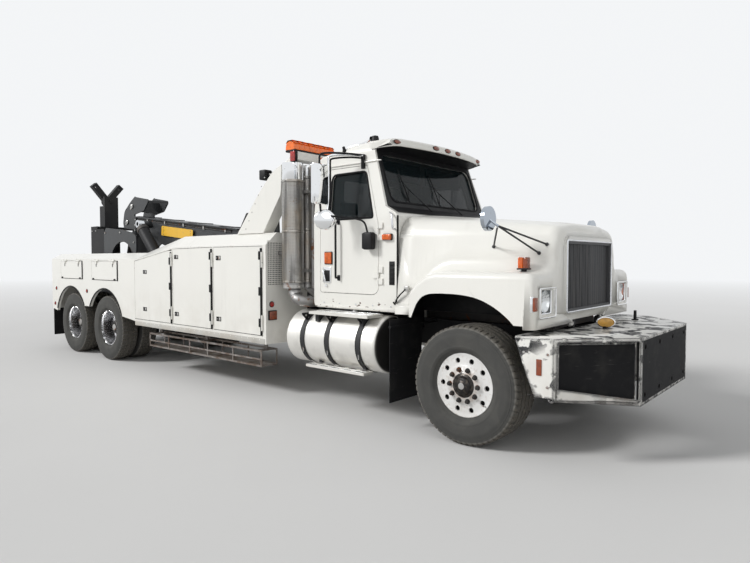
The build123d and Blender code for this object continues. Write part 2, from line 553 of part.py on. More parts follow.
def hood_section(x, depth):
    """Cross section of hood and fenders at x: round crest, hollow shoulder and round fender edge."""
    along = share(x, HOOD_REAR, HOOD_NOSE)
    ahead = max(0, x - (HOOD_NOSE - NOSE_R))
    tuck = NOSE_R - sqrt(max(0, NOSE_R ** 2 - ahead ** 2)) + depth
    side = HOOD_REAR_HALF + (HOOD_NOSE_HALF - HOOD_REAR_HALF) * along - tuck
    top = HOOD_REAR_TOP + (HOOD_NOSE_TOP - HOOD_REAR_TOP) * along - tuck
    rise = sin(share(x, FENDER_START, FENDER_FULL) * pi / 2)
    lip = HOOD_LOW + 90 + (FENDER_TOP - HOOD_LOW - 90) * rise - tuck
    flare = (1 - cos(share(x, FENDER_START, FENDER_START + 150) * pi)) / 2
    out = side + 45 + (FENDER_HALF - tuck - side - 45) * flare
    hollow, edge = min(130, (out - side) * 0.55), min(60 - depth, (out - side) * 0.4)
    crest = 260 - 120 * along - depth
    half = [(out, HOOD_LOW - 30), (out, lip, edge), (side + 8, lip + 12, hollow), (side, lip + 200),
            (side - 60, top - 45, crest), (0.45 * side, top)]
    return half + [(-y, z, *rest) for y, z, *rest in reversed(half)]


HOOD_STATIONS = [HOOD_REAR, FENDER_START, FENDER_START + 50, FENDER_START + 100, FENDER_START + 150,
                 FENDER_START + 240, FENDER_START + 340, FENDER_FULL, 0, HOOD_NOSE - NOSE_R, HOOD_NOSE - 40,
                 HOOD_NOSE - 15, HOOD_NOSE - 3]


def hood_form(depth):
    """Hood and fenders lofted through their stations, moved inwards by depth and open behind."""
    places = [x - depth if x > 0 else x for x in HOOD_STATIONS]
    if depth:
        places[0] = HOOD_REAR - 1
    return loft([cross_face(hood_section(x, depth), x) for x in places], ruled=True)


def hood():
    """Tilting hood with both fenders, open below and behind, with the grille opening in its nose."""
    shell = hood_form(0) - hood_form(HOOD_SKIN)
    mx, mz = ARCH_MID_X, ARCH_MID_Z
    arch = side_prism([(mx - 660, 900), (mx - ARCH_R_FRONT, 900)]
                      + arch_points(mx, mz, ARCH_R_FRONT, ARCH_FLAT)[1:-1] + [(mx + ARCH_R_FRONT, 900)],
                      760, FENDER_HALF + 100)
    shell = shell - block(-1000, 560, -1300, 1300, 600, HOOD_LOW) - two(arch)
    shell -= block(500, HOOD_NOSE + 20, -410, 410, 600, HOOD_LOW)
    surround = [(GRILLE_HALF + 40, GRILLE_LOW - 25, 40), (GRILLE_HALF + 40, GRILLE_TOP + 45, 90)]
    surround += [(-y, z, r) for y, z, r in reversed(surround)]
    shell += cross_prism(surround, HOOD_NOSE - 26, HOOD_NOSE + 12)
    shell -= block(HOOD_NOSE - 60, HOOD_NOSE + 20, -GRILLE_HALF, GRILLE_HALF, GRILLE_LOW, GRILLE_TOP)
    lamp_hole = block(HOOD_NOSE - 90, HOOD_NOSE + 20, LAMP_IN, LAMP_OUT, LAMP_LOW, LAMP_TOP)
    shell -= two(fillet(lamp_hole.edges().filter_by(Axis.X), LAMP_R))
    hx, hz = HOOD_HINGE
    pin_y = 345 + SEAT
    lug = rod((hx, pin_y, hz), (hx, 385, hz), 26) + block(hx - 14, hx + 14, pin_y, 385, hz, HOOD_LOW + 60)
    shell += two(lug) + block(hx - 30, HOOD_NOSE - HOOD_SKIN + 5, -600, 600, HOOD_LOW + 12, HOOD_LOW + 60)
    write("hood", shell)


def grille():
    """Silver frame with upright bars whose faces fall back from a crease in the middle."""
    half, low, top, rim = GRILLE_HALF - SEAT, GRILLE_LOW + SEAT, GRILLE_TOP - SEAT, 24
    x_back, x_front = HOOD_NOSE - 45, HOOD_NOSE + 8
    whole = block(x_back, x_front, -half, half, low, top)
    whole -= block(x_back - 1, x_front + 1, -half + rim, half - rim, low + rim, top - rim)
    bars = 39
    pitch = 2 * (half - rim) / (bars + 1)
    for k in range(1, bars + 1):
        y = -half + rim + k * pitch
        x = x_front - GRILLE_CREASE * abs(y) / half
        whole += block(x - 26, x - 6, y - pitch * 0.28, y + pitch * 0.28, low + rim - 4, top - rim + 4)
    write("grille", whole)


def headlamps():
    """Lamp bodies in their openings."""
    lamp = block(HOOD_NOSE - 70, HOOD_NOSE - 4, LAMP_IN + SEAT, LAMP_OUT - SEAT, LAMP_LOW + SEAT, LAMP_TOP
                 - SEAT)
    write("headlamps", both_sides(fillet(lamp.edges().filter_by(Axis.X), LAMP_R)))


def hood_wall(x, z):
    """Half width of the hood's upright side at x and z."""
    (y0, z0), (y1, z1), (y2, z2) = [point[:2] for point in hood_section(x, 0)[2:5]]
    if z < z1:
        return y0 + (y1 - y0) * (z - z0) / (z1 - z0)
    return y1 + (y2 - y1) * (z - z1) / (z2 - z1)


def hood_mirrors():
    """Round convex mirrors, each on a tripod whose feet seat on the hood's side."""
    joint = (300, FENDER_HALF - 50, 1930)
    glass = (235, FENDER_HALF - 10, 1990)
    stand = rod(joint, glass, 10) + Pos(*joint) * Sphere(12)
    stand += rod((glass[0] - 20, glass[1], glass[2]), (glass[0] + 15, glass[1], glass[2]), 105)
    for x, z in ((90, 1760), (500, 1700), (560, 1775)):
        foot = Vector(x, hood_wall(x, z), z)
        normal = Vector(foot.Y - hood_wall(x + 1, z), 1, foot.Y - hood_wall(x, z + 1)).normalized()
        stand += rod(foot + normal * 2 * SEAT, foot + normal * 9, 16) + rod(foot + normal * 7, joint, 8)
    write("hood_mirrors", both_sides(stand))


# Tanks, steps and exhaust

TANK_FRONT, TANK_REAR, TANK_R, TANK_Y, TANK_Z = CAB_FRONT - 115, CAB_REAR - 270, 300, 905, 765
STRAP_T, STRAP_W = 6, 56


def tanks_and_steps():
    """Round fuel tank, its straps and cradles on the rail, and the two step plates over and under it."""
    tank = rod((TANK_REAR, TANK_Y, TANK_Z), (TANK_FRONT, TANK_Y, TANK_Z), TANK_R)
    tank = fillet(tank.edges().filter_by(GeomType.CIRCLE), 45)
    write("fuel_tanks", both_sides(tank))
    room = rod((TANK_REAR - 1, TANK_Y, TANK_Z), (TANK_FRONT + 1, TANK_Y, TANK_Z), TANK_R + SEAT)
    step_rear, step_front = TANK_REAR + 410, TANK_FRONT - 90
    carriers = block(step_rear, step_front, TANK_Y + 60, TANK_Y + 310, 1050, 1080)
    carriers += block(step_rear - 40, step_front - 40, TANK_Y + 175, TANK_Y + 320, 470, 498)
    for x in (step_rear + 60, step_front - 140):
        carriers += block(x - 25, x + 25, TANK_Y + 60, TANK_Y + 245, TANK_Z + 200, 1051)
        carriers += block(x - 20, x + 20, TANK_Y + 155, TANK_Y + 195, 470, 620)
    for x in (TANK_REAR + 290, TANK_REAR + 670, TANK_FRONT - 230):
        x0, x1 = x - STRAP_W / 2, x + STRAP_W / 2
        carriers += rod((x0, TANK_Y, TANK_Z), (x1, TANK_Y, TANK_Z), TANK_R + STRAP_T)
        carriers += block(x0, x1, RAIL_Y, RAIL_Y + 30, 600, FRAME_TOP - 20)
        carriers += block(x0, x1, RAIL_Y, TANK_Y - 100, 600, 640)
    write("cab_steps", both_sides(carriers - room))


def exhaust():
    """Twin upright silencers on the right, their brackets, and the elbow that leads in under the cab."""
    outer_x, outer_y, outer_r = CAB_REAR - 290, -1060, 120
    inner_x, inner_y, inner_r = CAB_REAR - 340, -790, 100
    low, top = 1310, 2735
    whole = rod((outer_x, outer_y, low), (outer_x, outer_y, top), outer_r)
    whole += rod((inner_x, inner_y, low), (inner_x, inner_y, top), inner_r)
    for x, y in ((outer_x, outer_y), (inner_x, inner_y)):
        whole += block(BODY_FRONT + SEAT, x, y - 30, y + 30, 1700, 1740)
    elbow_x = CAB_REAR - 100
    whole += bent_rod([(outer_x, outer_y, low + 10), (outer_x + 20, outer_y - 5, 1245),
                       (elbow_x - 40, -1090, 1180), (elbow_x, -960, 1155), (elbow_x + 10, -700, 1130)], 60)
    whole += rod((elbow_x + 10, -705, 1130), (elbow_x + 10, -560, 1045), 56)
    whole += Pos(elbow_x + 10, -560, 1045) * Sphere(56)
    whole += rod((elbow_x + 10, -560, 1045), (CAB_REAR + 400, -530, 1045), 50)
    whole += rod((inner_x, inner_y, low + 10), (elbow_x, -700, 1130), 50)
    whole += rod((outer_x + 150, -880, low), (outer_x + 150, -880, top), 28)
    for z in (1500, 2410):
        whole += block(outer_x, outer_x + 150, -1000, -870, z, z + 30)
        whole += block(inner_x, inner_x + 60, -1000, -850, z, z + 30)
    write("exhaust_stacks", whole)


# Tool-box body

def body_outline(high):
    """Cross section of the left tool boxes, with its outer fold and its crest."""
    fold, crest = (FOLD_FRONT, CREST_FRONT) if high else (FOLD_REAR, CREST_REAR)
    return [(BODY_INNER, BODY_SILL), (BODY_HALF, BODY_SILL), (BODY_HALF, fold), (BODY_HALF - CREST_IN, crest),
            (BODY_INNER, crest)]


def body_form(inset):
    low, high = body_outline(False), body_outline(True)
    form = cross_prism(low, BODY_REAR + inset, SLOPE_REAR, inset)
    form += loft([cross_face(low, SLOPE_REAR, inset), cross_face(high, SLOPE_FRONT, inset)], ruled=True)
    return form + cross_prism(high, SLOPE_FRONT, BODY_FRONT - inset, inset)


# Big doors: name, front edge and rear edge behind the body's front, top at the front, top at the rear
BIG_DOORS = [("front", 60, 1050, 1802, 1802), ("middle", 1070, 2027, 1802, 1790),
             ("rear", 2047, 3110, 1785, 1620)]
BIG_DOOR_LOW = 745
# Small doors over the twin wheels: name, axle, front edge before it, rear edge behind it
SMALL_DOORS = [("forward", AXLE_1, 487, 453), ("rearward", AXLE_2, 503, 417)]
SMALL_DOOR_LOW, SMALL_DOOR_TOP = 1300, 1620


def big_door(front, rear, top_front, top_rear):
    """A door panel whose top edge falls rearward, eased at the front where it turns in past the frame."""
    g = DOOR_GAP
    fall = (top_front - top_rear) / (front - rear)
    ease = 16 if fall > 0.1 else 0
    points = [(rear + g, BIG_DOOR_LOW + g), (front - g, BIG_DOOR_LOW + g), (front - g, top_front - g - ease),
              (front - 100, top_front - g - 100 * fall), (rear + g, top_rear - g)]
    return side_prism(points, BODY_HALF - BODY_WALL, BODY_HALF)


def body_side():
    """Left row of tool boxes with open compartments, its doors and the wheel housing under it."""
    boxes_rear, small_front = BODY_FRONT - 3115, AXLE_1 + 967
    big_zone = block(boxes_rear, BODY_FRONT, 0, 1700, 0, 2400)
    small_zone = block(BODY_REAR, small_front, 0, 1700, 1245, 2400)
    voids = body_form(BODY_WALL) & (big_zone + small_zone)
    for x in (BODY_FRONT - 1060, BODY_FRONT - 2037):
        voids -= block(x - 15, x + 15, 0, 1700, 0, 2400)
    voids -= block(TANDEM_MID + 5, TANDEM_MID + 45, 0, 1700, 0, 2400)
    side = body_form(0) - voids
    skin_in = BODY_HALF - BODY_WALL
    side -= block(BODY_REAR + BODY_WALL, small_front, BODY_INNER - 1, skin_in, BODY_SILL - 1, 1200)
    for x in (AXLE_1, AXLE_2):
        side -= rod((x, BODY_INNER - 1, REAR_TYRE_R + 10), (x, BODY_HALF + 1, REAR_TYRE_R + 10),
                    REAR_TYRE_R + WHEEL_ROOM)
    side -= block(AXLE_2, AXLE_1, skin_in - 25, BODY_HALF + 30, 0, 850)
    side -= side_prism([(BODY_REAR - 1, 600), (BODY_REAR - 1, 747), (AXLE_2 - 547, 700), (AXLE_2 - 547, 600)],
                       600, BODY_HALF + 30)
    side -= side_prism([(AXLE_1 + 357, 600), (AXLE_1 + 357, 760), (AXLE_1 + 597, 757), (AXLE_1 + 1457, 665),
                        (AXLE_1 + 1457, 600)], 600, BODY_HALF + 30)
    doors = []
    axis_y = BODY_HALF + BARREL_OUT
    for name, ahead, behind, top_front, top_rear in BIG_DOORS:
        front, rear = BODY_FRONT - ahead, BODY_FRONT - behind
        side -= side_prism([(rear, BIG_DOOR_LOW), (front, BIG_DOOR_LOW), (front, top_front),
                            (rear, top_rear)], skin_in - 1, BODY_HALF + 1)
        panel = big_door(front, rear, top_front, top_rear)
        moving, fixed = hinge_barrels(upright_barrel(front, axis_y), (900, 1640))
        for barrel in moving:
            z = barrel.center().Z
            panel += barrel + block(front - 60, front, BODY_HALF - 10, axis_y + 4, z - 30, z + 30)
        for barrel in fixed:
            z = barrel.center().Z
            side += barrel + block(front, front + 9, BODY_HALF - 8, axis_y + 4, z - 30, z + 30)
        doors.append((f"tool_door_{name}", panel))
    low, top, g = SMALL_DOOR_LOW, SMALL_DOOR_TOP, DOOR_GAP
    for name, axle, ahead, behind in SMALL_DOORS:
        front, rear = axle + ahead, axle - behind
        side -= block(rear, front, skin_in - 1, BODY_HALF + 1, low, top)
        panel = block(rear + g, front - g, skin_in, BODY_HALF, low + g, top - g)
        for middle in (rear + 180, front - 180):
            moving, fixed = hinge_barrels(lambda x: Pos(x, axis_y, top) * Rot(0, 90, 0)
                                          * Cylinder(BARREL_R, BARREL_LENGTH), (middle,))
            panel += moving[0] + block(middle - 30, middle + 30, BODY_HALF - 10, axis_y + 4, top - 50, top)
            for barrel in fixed:
                x = barrel.center().X
                side += barrel + block(x - 30, x + 30, BODY_HALF - 8, axis_y + 4, top, top + 20)
        doors.append((f"small_door_{name}", panel))
    return side, doors


def body():
    side, doors = body_side()
    write("tool_boxes_left", side)
    write("tool_boxes_right", mirrored(side))
    for name, panel in doors:
        write(f"{name}_left", panel)
        write(f"{name}_right", mirrored(panel))
    floor = block(BODY_REAR + 30, BODY_FRONT - 10, -BODY_INNER, BODY_INNER, DECK_TOP - DECK_T, DECK_TOP)
    floor += block(BODY_FRONT - 40, BODY_FRONT - 10, -BODY_INNER, BODY_INNER, DECK_TOP, CREST_FRONT)
    write("deck", floor)


def racks():
    """Open rack with a shelf under each side of the body, hung from the sill."""
    front, rear = BODY_FRONT - 240, BODY_FRONT - 2910
    y1 = BODY_HALF - 120
    y0 = y1 - 250
    rack = block(rear, front, y0, y1, 340, 362)
    for low, high in ((420, 440), (520, 545)):
        rack += block(rear, front, y1 - 12, y1, low, high)
    rack += block(rear, front, y0, y0 + 12, 520, 545)
    for behind in (250, 820, 1390, 1820, 2370, 2900):
        x = BODY_FRONT - behind
        for y in (y0, y1 - 12):
            rack += block(x - 10, x + 10, y, y + 12, 340, 545)
    for behind in (330, 1605, 2820):
        x = BODY_FRONT - behind
        rack += block(x - 30, x + 30, y0, y1, 520, 540) + block(x - 30, x + 30, y0 + 100, y0 + 120, 535,
                                                                BODY_SILL)
    rack -= side_prism([(AXLE_1 + 1157, 760), (AXLE_1 + 1457, 665), (AXLE_1 + 1457, BODY_SILL),
                        (AXLE_1 + 1157, BODY_SILL)], 800, BODY_HALF + 30)
    write("side_racks", both_sides(rack))


def pylon():
    """White light pylon: two swept legs, open channels on the tool boxes, and a beam across them."""
    y1, y0, wall, front = 1120, 960, 14, BODY_FRONT
    edge = [(front - 740, CREST_FRONT), (front - 331, 2419, 900), (front - 48, 2679, 500),
            (front + 233, 2790, 200), (front + 330, 2860), (front + 400, 2860), (front + 400, 2770),
            (front + 110, 2740), (front + 99, 2407, 120), (front - 230, CREST_FRONT)]
    leg = side_prism(edge, y0, y1)
    channel = side_prism(edge, y0 + wall, y1 - wall, wall)
    channel &= block(front - 800, front + 110, 0, 1300, CREST_FRONT + wall, 2700)
    leg -= channel + Pos(wall + 1, 0, 0) * channel
    beam = block(front + 230, front + 400, -y0 - 1, y0 + 1, 2770, 2860)
    write("light_pylon", two(leg) + beam)
    bar = block(front + 230, front + 390, 510, 1165, 2860 + SEAT, 2990)
    bar = fillet(bar.edges().filter_by(Axis.Z), 40)
    tail = block(BODY_REAR - 35, BODY_REAR, 700, 1150, 1000, 1110)
    write("lamps", both_sides(bar), both_sides(tail))


# Boom

def boom_place():
    """Boom frame: origin on the pivot, x rearward along the boom, z square to it and up."""
    a = radians(BOOM_ANGLE)
    return Plane(origin=(BOOM_PIVOT[0], 0, BOOM_PIVOT[1]), x_dir=(-cos(a), 0, sin(a)),
                 z_dir=(sin(a), 0, cos(a)))


def on_boom(along, up):
    """The (x, z) of a point given along the boom and square to it."""
    a = radians(BOOM_ANGLE)
    return (BOOM_PIVOT[0] - along * cos(a) + up * sin(a), BOOM_PIVOT[1] + along * sin(a) + up * cos(a))


def boom_bar(u0, u1, half, w0, w1):
    return boom_place() * Pos((u0 + u1) / 2, 0, (w0 + w1) / 2) * Box(u1 - u0, 2 * half, w1 - w0)


def boom_outline(points):
    """(along, up) or (along, up, r) points of a plate on the boom, as (x, z) points."""
    return [(*on_boom(u, w), *rest) for u, w, *rest in points]


def inner_size():
    """Half width, lower face and upper face of the sliding inner boom."""
    play = BOOM_WALL + INNER_GAP
    return BOOM_HALF - play, BOOM_LOW + play, BOOM_TOP - play


def outer_boom():
    """Box boom with deep side plates, top flange, sliding bore, pivot boss and lift pins."""
    px, pz = BOOM_PIVOT
    half, low, top = inner_size()
    whole = boom_bar(-110, BOOM_LENGTH, BOOM_HALF, BOOM_LOW, BOOM_TOP)
    belly = side_prism(boom_outline([(-110, 130), (-110, -90, 60), (200, -180, 200),
                                     (BOOM_BELLY - 840, BOOM_DEEP, 400), (BOOM_BELLY - 530, -135, 300),
                                     (BOOM_BELLY - 245, -29, 300), (BOOM_BELLY, 158, 40),
                                     (BOOM_BELLY - 60, 225)]), -BOOM_HALF - BELLY_T, -BOOM_HALF + 1)
    whole += two(belly)
    whole += boom_bar(60, BOOM_LENGTH, BOOM_HALF + FLANGE_OUT, BOOM_TOP, BOOM_TOP + FLANGE_T)
    whole += boom_bar(BOOM_LENGTH - 80, BOOM_LENGTH, BOOM_HALF + 18, BOOM_LOW - 18, BOOM_TOP + FLANGE_T)
    whole += rod((px, -BOOM_HALF - BELLY_T, pz), (px, BOOM_HALF + BELLY_T, pz), 110)
    ex, ez = LIFT_EYE
    reach = LIFT_Y - LIFT_ROD_R - CLEAR
    whole += rod((ex, -reach, ez), (ex, reach, ez), 62)
    whole -= boom_bar(300, BOOM_LENGTH - 80, BOOM_HALF - BOOM_WALL, BOOM_LOW + BOOM_WALL, BOOM_TOP
                      - BOOM_WALL)
    whole -= boom_bar(299, BOOM_LENGTH + 1, half + RUN, low - RUN, top + RUN)
    whole -= rod((px, -400, pz), (px, 400, pz), BOOM_PIN_R + RUN)
    write("boom_outer", whole)


# Sheaves in the boom's head: how far behind the outer boom's end, how high, radius
SHEAVES = [(110, 455, 105), (270, 150, 95)]


def boom_head():
    """Sliding inner boom and its head: two curved cheek plates, cross plates and grooved sheaves."""
    half, low, top = inner_size()
    end = BOOM_LENGTH
    inner = boom_bar(900, end + 60, half, low, top) - boom_bar(890, end + 15, half - 12, low + 12, top - 12)
    cheek_low, over = 30, BOOM_TOP + FLANGE_T + 15
    cheek = boom_outline([(end + 15, cheek_low), (end + 400, cheek_low, 30), (end + 438, 120, 60),
                          (end + 400, 330, 200), (end + 225, 500, 300), (end + 30, 640, 60),
                          (end - 500, 612, 40), (end - 330, 405, 80), (end + 15, over + 20)])
    plate = side_prism(cheek, half, half + 28)
    head = two(plate) + boom_bar(end + 15, end + 60, half + 2, cheek_low, top + 20)
    head += boom_bar(end - 470, end - 455, half + 2, 560, 600) + boom_bar(end - 180, end - 160, half + 2,
                                                                          over + 70, 560)
    for behind, up, radius in SHEAVES:
        cx, cz = on_boom(end + behind, up)
        head += rod((cx, -half - 40, cz), (cx, half + 40, cz), 32)
        for y in (-90, 90):
            sheave = rod((cx, y - 35, cz), (cx, y + 35, cz), radius)
            groove = rod((cx, y - 12, cz), (cx, y + 12, cz), radius + 1)
            head += sheave - (groove - rod((cx, y - 12, cz), (cx, y + 12, cz), radius - 26))
    write("boom_inner", inner + head)


def cylinder_pair(base, eye, half_y, radius, rod_radius, boss, name):
    """Two barrels pinned at base, and two rods whose eyes lie at the far pin."""
    (bx, bz), (ex, ez) = base, eye
    length = hypot(ex - bx, ez - bz)
    ux, uz = (ex - bx) / length, (ez - bz) / length

    def at(distance, y):
        return (bx + ux * distance, y, bz + uz * distance)

    barrels, rods = [], []
    for y in (half_y, -half_y):
        barrel = rod(at(boss + 30, y), at(length - boss - 40, y), radius)
        barrel += rod(at(0, y), at(boss + 40, y), boss * 0.5)
        barrel -= rod(at(boss + 50, y), at(length - boss - 80, y), radius - 16)
        barrel -= rod(at(boss + 50, y), at(length, y), rod_radius + RUN)
        barrel += rod((bx, y - 38, bz), (bx, y + 38, bz), boss)
        barrel -= rod((bx, y - 60, bz), (bx, y + 60, bz), boss * 0.5 + RUN)
        barrels.append(barrel)
        stem = rod(at(boss + 60, y), at(length - boss + 10, y), rod_radius)
        stem += rod(at(boss + 60, y), at(boss + 130, y), radius - 16 - RUN)
        stem += rod((ex, y - rod_radius, ez), (ex, y + rod_radius, ez), boss)
        stem -= rod((ex, y - 60, ez), (ex, y + 60, ez), boss * 0.5)
        rods.append(stem)
    write(f"{name}_barrels", *barrels)
    write(f"{name}_rods", *rods)


def boom_pedestal():
    """Two leaning side plates that hold the boom's pivot, the lift cylinders' base lugs and the winches."""
    px, pz = BOOM_PIVOT
    edge = [(px - 450, DECK_TOP), (px - 430, 1500, 80), (px - 150, 1900, 80), (px + 70, 2070, 80),
            (px + 250, 2325, 20), (px + 320, 2325, 20), (px + 350, 1900, 80), (px + 600, DECK_TOP)]
    pedestal = two(side_prism(edge, PEDESTAL_Y, PEDESTAL_Y + PEDESTAL_T))
    pedestal += rod((px, -PEDESTAL_Y - PEDESTAL_T - 20, pz), (px, PEDESTAL_Y + PEDESTAL_T + 20, pz),
                    BOOM_PIN_R)
    pedestal += block(px + 260, px + 300, -PEDESTAL_Y - 1, PEDESTAL_Y + 1, 1300, 1600)
    bx, bz = LIFT_BASE
    lugs = rod((bx, LIFT_Y - 60, bz), (bx, LIFT_Y + 60, bz), LIFT_BOSS * 0.5)
    for y in (LIFT_Y - 68, LIFT_Y + 40):
        lugs += block(bx - 80, bx + 80, y, y + 28, DECK_TOP, bz) + rod((bx, y, bz), (bx, y + 28, bz),
                                                                       LIFT_BOSS + 10)
    pedestal += two(lugs)
    winches = []
    wx, wz = BODY_FRONT - 930, DECK_TOP + 240
    for y in (-330, 330):
        winch = rod((wx, y - 190, wz), (wx, y + 190, wz), 130) + rod((wx, y - 220, wz), (wx, y + 220, wz), 40)
        for side in (y - 200, y + 180):
            winch += rod((wx, side, wz), (wx, side + 20, wz), 200)
        for side in (y - 230, y + 206):
            winch += block(wx - 140, wx + 140, side, side + 24, DECK_TOP, wz + 20)
        winches.append(winch)
    write("boom_pedestal", pedestal, *winches)


# Tower and underlift

def tower():
    """Boom rest at the rear: two arched side plates joined by a rest bar and a foot."""
    inside = TOWER_Y - TOWER_T
    rear = AXLE_2 - 507
    arch = arch_points(AXLE_2 + 223, 1500, 470, 2085, 14)
    foot_z = DECK_TOP + 60
    edge = [(rear, DECK_TOP), (rear, TOWER_TOP - 95, 60), (rear + 80, TOWER_TOP, 60),
            (rear + 760, TOWER_TOP - 60, 60), (rear + 1120, 2120, 60), (rear + 1250, 2060, 40),
            (rear + 1260, 1900, 60), (rear + 1210, DECK_TOP)]
    plate = side_prism(edge, inside, TOWER_Y)
    plate -= side_prism([(arch[0][0], foot_z)] + arch + [(arch[-1][0], foot_z)], inside - 20, TOWER_Y + 10)
    rest = block(rear + 80, rear + 180, -inside - 1, inside + 1, 2080, 2160)
    foot = block(rear, rear + 60, -inside - 1, inside + 1, DECK_TOP, DECK_TOP + 120)
    write("rear_tower", two(plate) + rest + foot)


def underlift_column():
    """Welded frame behind the body: two plates, a back plate, the hinge lugs and the cylinders' top pin."""
    inside = TOWER_Y - TOWER_T
    body_end = BODY_REAR + 20
    hx, hz = ARM_HINGE
    side = block(COLUMN_REAR, body_end, inside, TOWER_Y, COLUMN_LOW, COLUMN_TOP)
    side += block(BODY_REAR, AXLE_2 - 507, inside, TOWER_Y, DECK_TOP, COLUMN_TOP - 60)
    y0, y1 = ARM_HALF_Y + 6, ARM_HALF_Y + 50
    side += side_prism([(hx, hz - 75), (body_end + 5, COLUMN_LOW), (body_end + 5, hz + 220), (hx, hz + 75)],
                       y0, y1)
    side += rod((hx, y0, hz), (hx, y1, hz), 75)
    column = two(side)
    column += block(body_end, FRAME_REAR - 1, -inside - 1, inside + 1, COLUMN_LOW, 1250)
    column += block(COLUMN_REAR + 60, body_end - 10, -inside - 1, inside + 1, COLUMN_TOP - 50, COLUMN_TOP)
    column += rod((hx, -ARM_HALF_Y - 60, hz), (hx, ARM_HALF_Y + 60, hz), 40)
    fx, fz = FOLD_BASE
    column += rod((fx, -inside - 1, fz), (fx, inside + 1, fz), FOLD_BOSS * 0.5)
    write("underlift_column", column)


def underlift():
    """Folding arm with its pins, its sliding inner arm, and the swivelling crossbar with two raised limbs."""
    hx, hz = ARM_HINGE
    low, gap = hz - 60, ARM_WALL + 6
    half_x, half_y = ARM_HALF_X, ARM_HALF_Y
    arm = block(hx - half_x, hx + half_x, -half_y, half_y, low, ARM_TOP)
    arm += block(hx - half_x - 20, hx + half_x + 20, -half_y - 20, half_y + 20, ARM_TOP - 90, ARM_TOP)
    arm -= block(hx - half_x + ARM_WALL, hx + half_x - ARM_WALL, -half_y + ARM_WALL, half_y - ARM_WALL, hz
                 + 120, ARM_TOP - 90)
    arm -= block(hx - half_x + gap - RUN, hx + half_x - gap + RUN, -half_y + gap - RUN, half_y - gap + RUN,
                 ARM_TOP - 91, ARM_TOP + 1)
    arm -= rod((hx, -300, hz), (hx, 300, hz), 40 + RUN)
    ex, ez = FOLD_EYE
    reach = FOLD_Y - FOLD_ROD_R - CLEAR
    arm += block(hx + half_x - 1, ex + 10, -half_y + 20, half_y - 20, ez - 55, ez + 55)
    arm += rod((ex, -reach, ez), (ex, reach, ez), 42)
    write("underlift_arm", arm)
    pin_r = 35
    inner = block(hx - half_x + gap, hx + half_x - gap, -half_y + gap, half_y - gap, hz + 200, HEAD_Z + 90)
    inner += rod((hx - half_x + 5, 0, HEAD_Z), (hx + half_x, 0, HEAD_Z), pin_r)
    inner -= (block(hx - half_x - 1, hx + 40, -200, 200, HEAD_Z - 100, HEAD_Z + 100)
              - rod((hx - half_x - 2, 0, HEAD_Z), (hx + 42, 0, HEAD_Z), pin_r))
    write("underlift_stinger", inner)
    hub = rod((hx - half_x - 15, 0, HEAD_Z), (hx + 34, 0, HEAD_Z), 92)
    for s in (-1, 1):
        along = Pos(hx - 80, 0, HEAD_Z) * Rot(s * LIMB_TILT, 0, 0)
        hub += along * Pos(0, 0, LIMB_LENGTH / 2) * Box(LIMB_SIZE, LIMB_SIZE, LIMB_LENGTH)
        hub -= along * Pos(0, 0, LIMB_BORE_AT) * Rot(0, 90, 0) * Cylinder(LIMB_BORE_R, 300)
    hub -= rod((hx - 300, 0, HEAD_Z), (hx + 300, 0, HEAD_Z), pin_r + RUN)
    write("crossbar", hub)


def mud_flaps():
    """Rubber flaps behind the front and the rear wheels, on their hangers."""
    flap = block(-820, -812, 700, 1220, 250, 1060) + block(-830, -800, RAIL_Y, 1220, 980, 1000)
    rear = block(BODY_REAR - 10, BODY_REAR - 2, 640, BODY_HALF - 20, 240, 760)
    rear += block(BODY_REAR - 12, BODY_REAR, 640, BODY_HALF - 20, 740, 790)
    write("mud_flaps", both_sides(flap), both_sides(rear))


wheels()
front_axle()
rear_suspension()
frame()
engine()
front_bumper()
cab()
door_mirrors()
cab_inside()
hood()
grille()
headlamps()
hood_mirrors()
tanks_and_steps()
exhaust()
body()
racks()
pylon()
outer_boom()
boom_head()
cylinder_pair(LIFT_BASE, LIFT_EYE, LIFT_Y, LIFT_R, LIFT_ROD_R, LIFT_BOSS, "lift")
cylinder_pair(FOLD_BASE, FOLD_EYE, FOLD_Y, FOLD_R, FOLD_ROD_R, FOLD_BOSS, "fold")
boom_pedestal()
tower()
underlift_column()
underlift()
mud_flaps()
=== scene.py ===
from math import cos, hypot, pi, radians, sin, sqrt

import bmesh
import bpy
import numpy as np
from mathutils import Matrix, Vector


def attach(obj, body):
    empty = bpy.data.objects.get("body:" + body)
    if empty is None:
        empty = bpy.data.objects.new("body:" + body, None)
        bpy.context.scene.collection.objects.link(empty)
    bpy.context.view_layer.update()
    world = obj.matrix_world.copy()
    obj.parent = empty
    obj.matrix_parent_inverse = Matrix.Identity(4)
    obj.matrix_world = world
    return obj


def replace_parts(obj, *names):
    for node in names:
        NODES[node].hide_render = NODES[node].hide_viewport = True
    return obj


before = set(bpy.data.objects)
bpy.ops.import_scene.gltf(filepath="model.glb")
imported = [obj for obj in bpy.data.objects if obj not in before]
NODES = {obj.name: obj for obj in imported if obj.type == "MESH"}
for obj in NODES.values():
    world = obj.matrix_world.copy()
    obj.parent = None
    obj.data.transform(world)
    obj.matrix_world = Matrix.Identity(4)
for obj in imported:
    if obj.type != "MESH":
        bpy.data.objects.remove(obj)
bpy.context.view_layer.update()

# The part's source puts x = 0 on the front axle. Every length below is in metres on those axes.
FRONT_AXLE = 4.0425
AXLE_1, AXLE_2 = -6.757, -8.053
BODY_FRONT, BODY_REAR, BODY_HALF = -2.63, -8.87, 1.27
BOOM_PIVOT, BOOM_TURN, BOOM_LENGTH = (-4.55, 1.82), radians(6.1), 3.2997
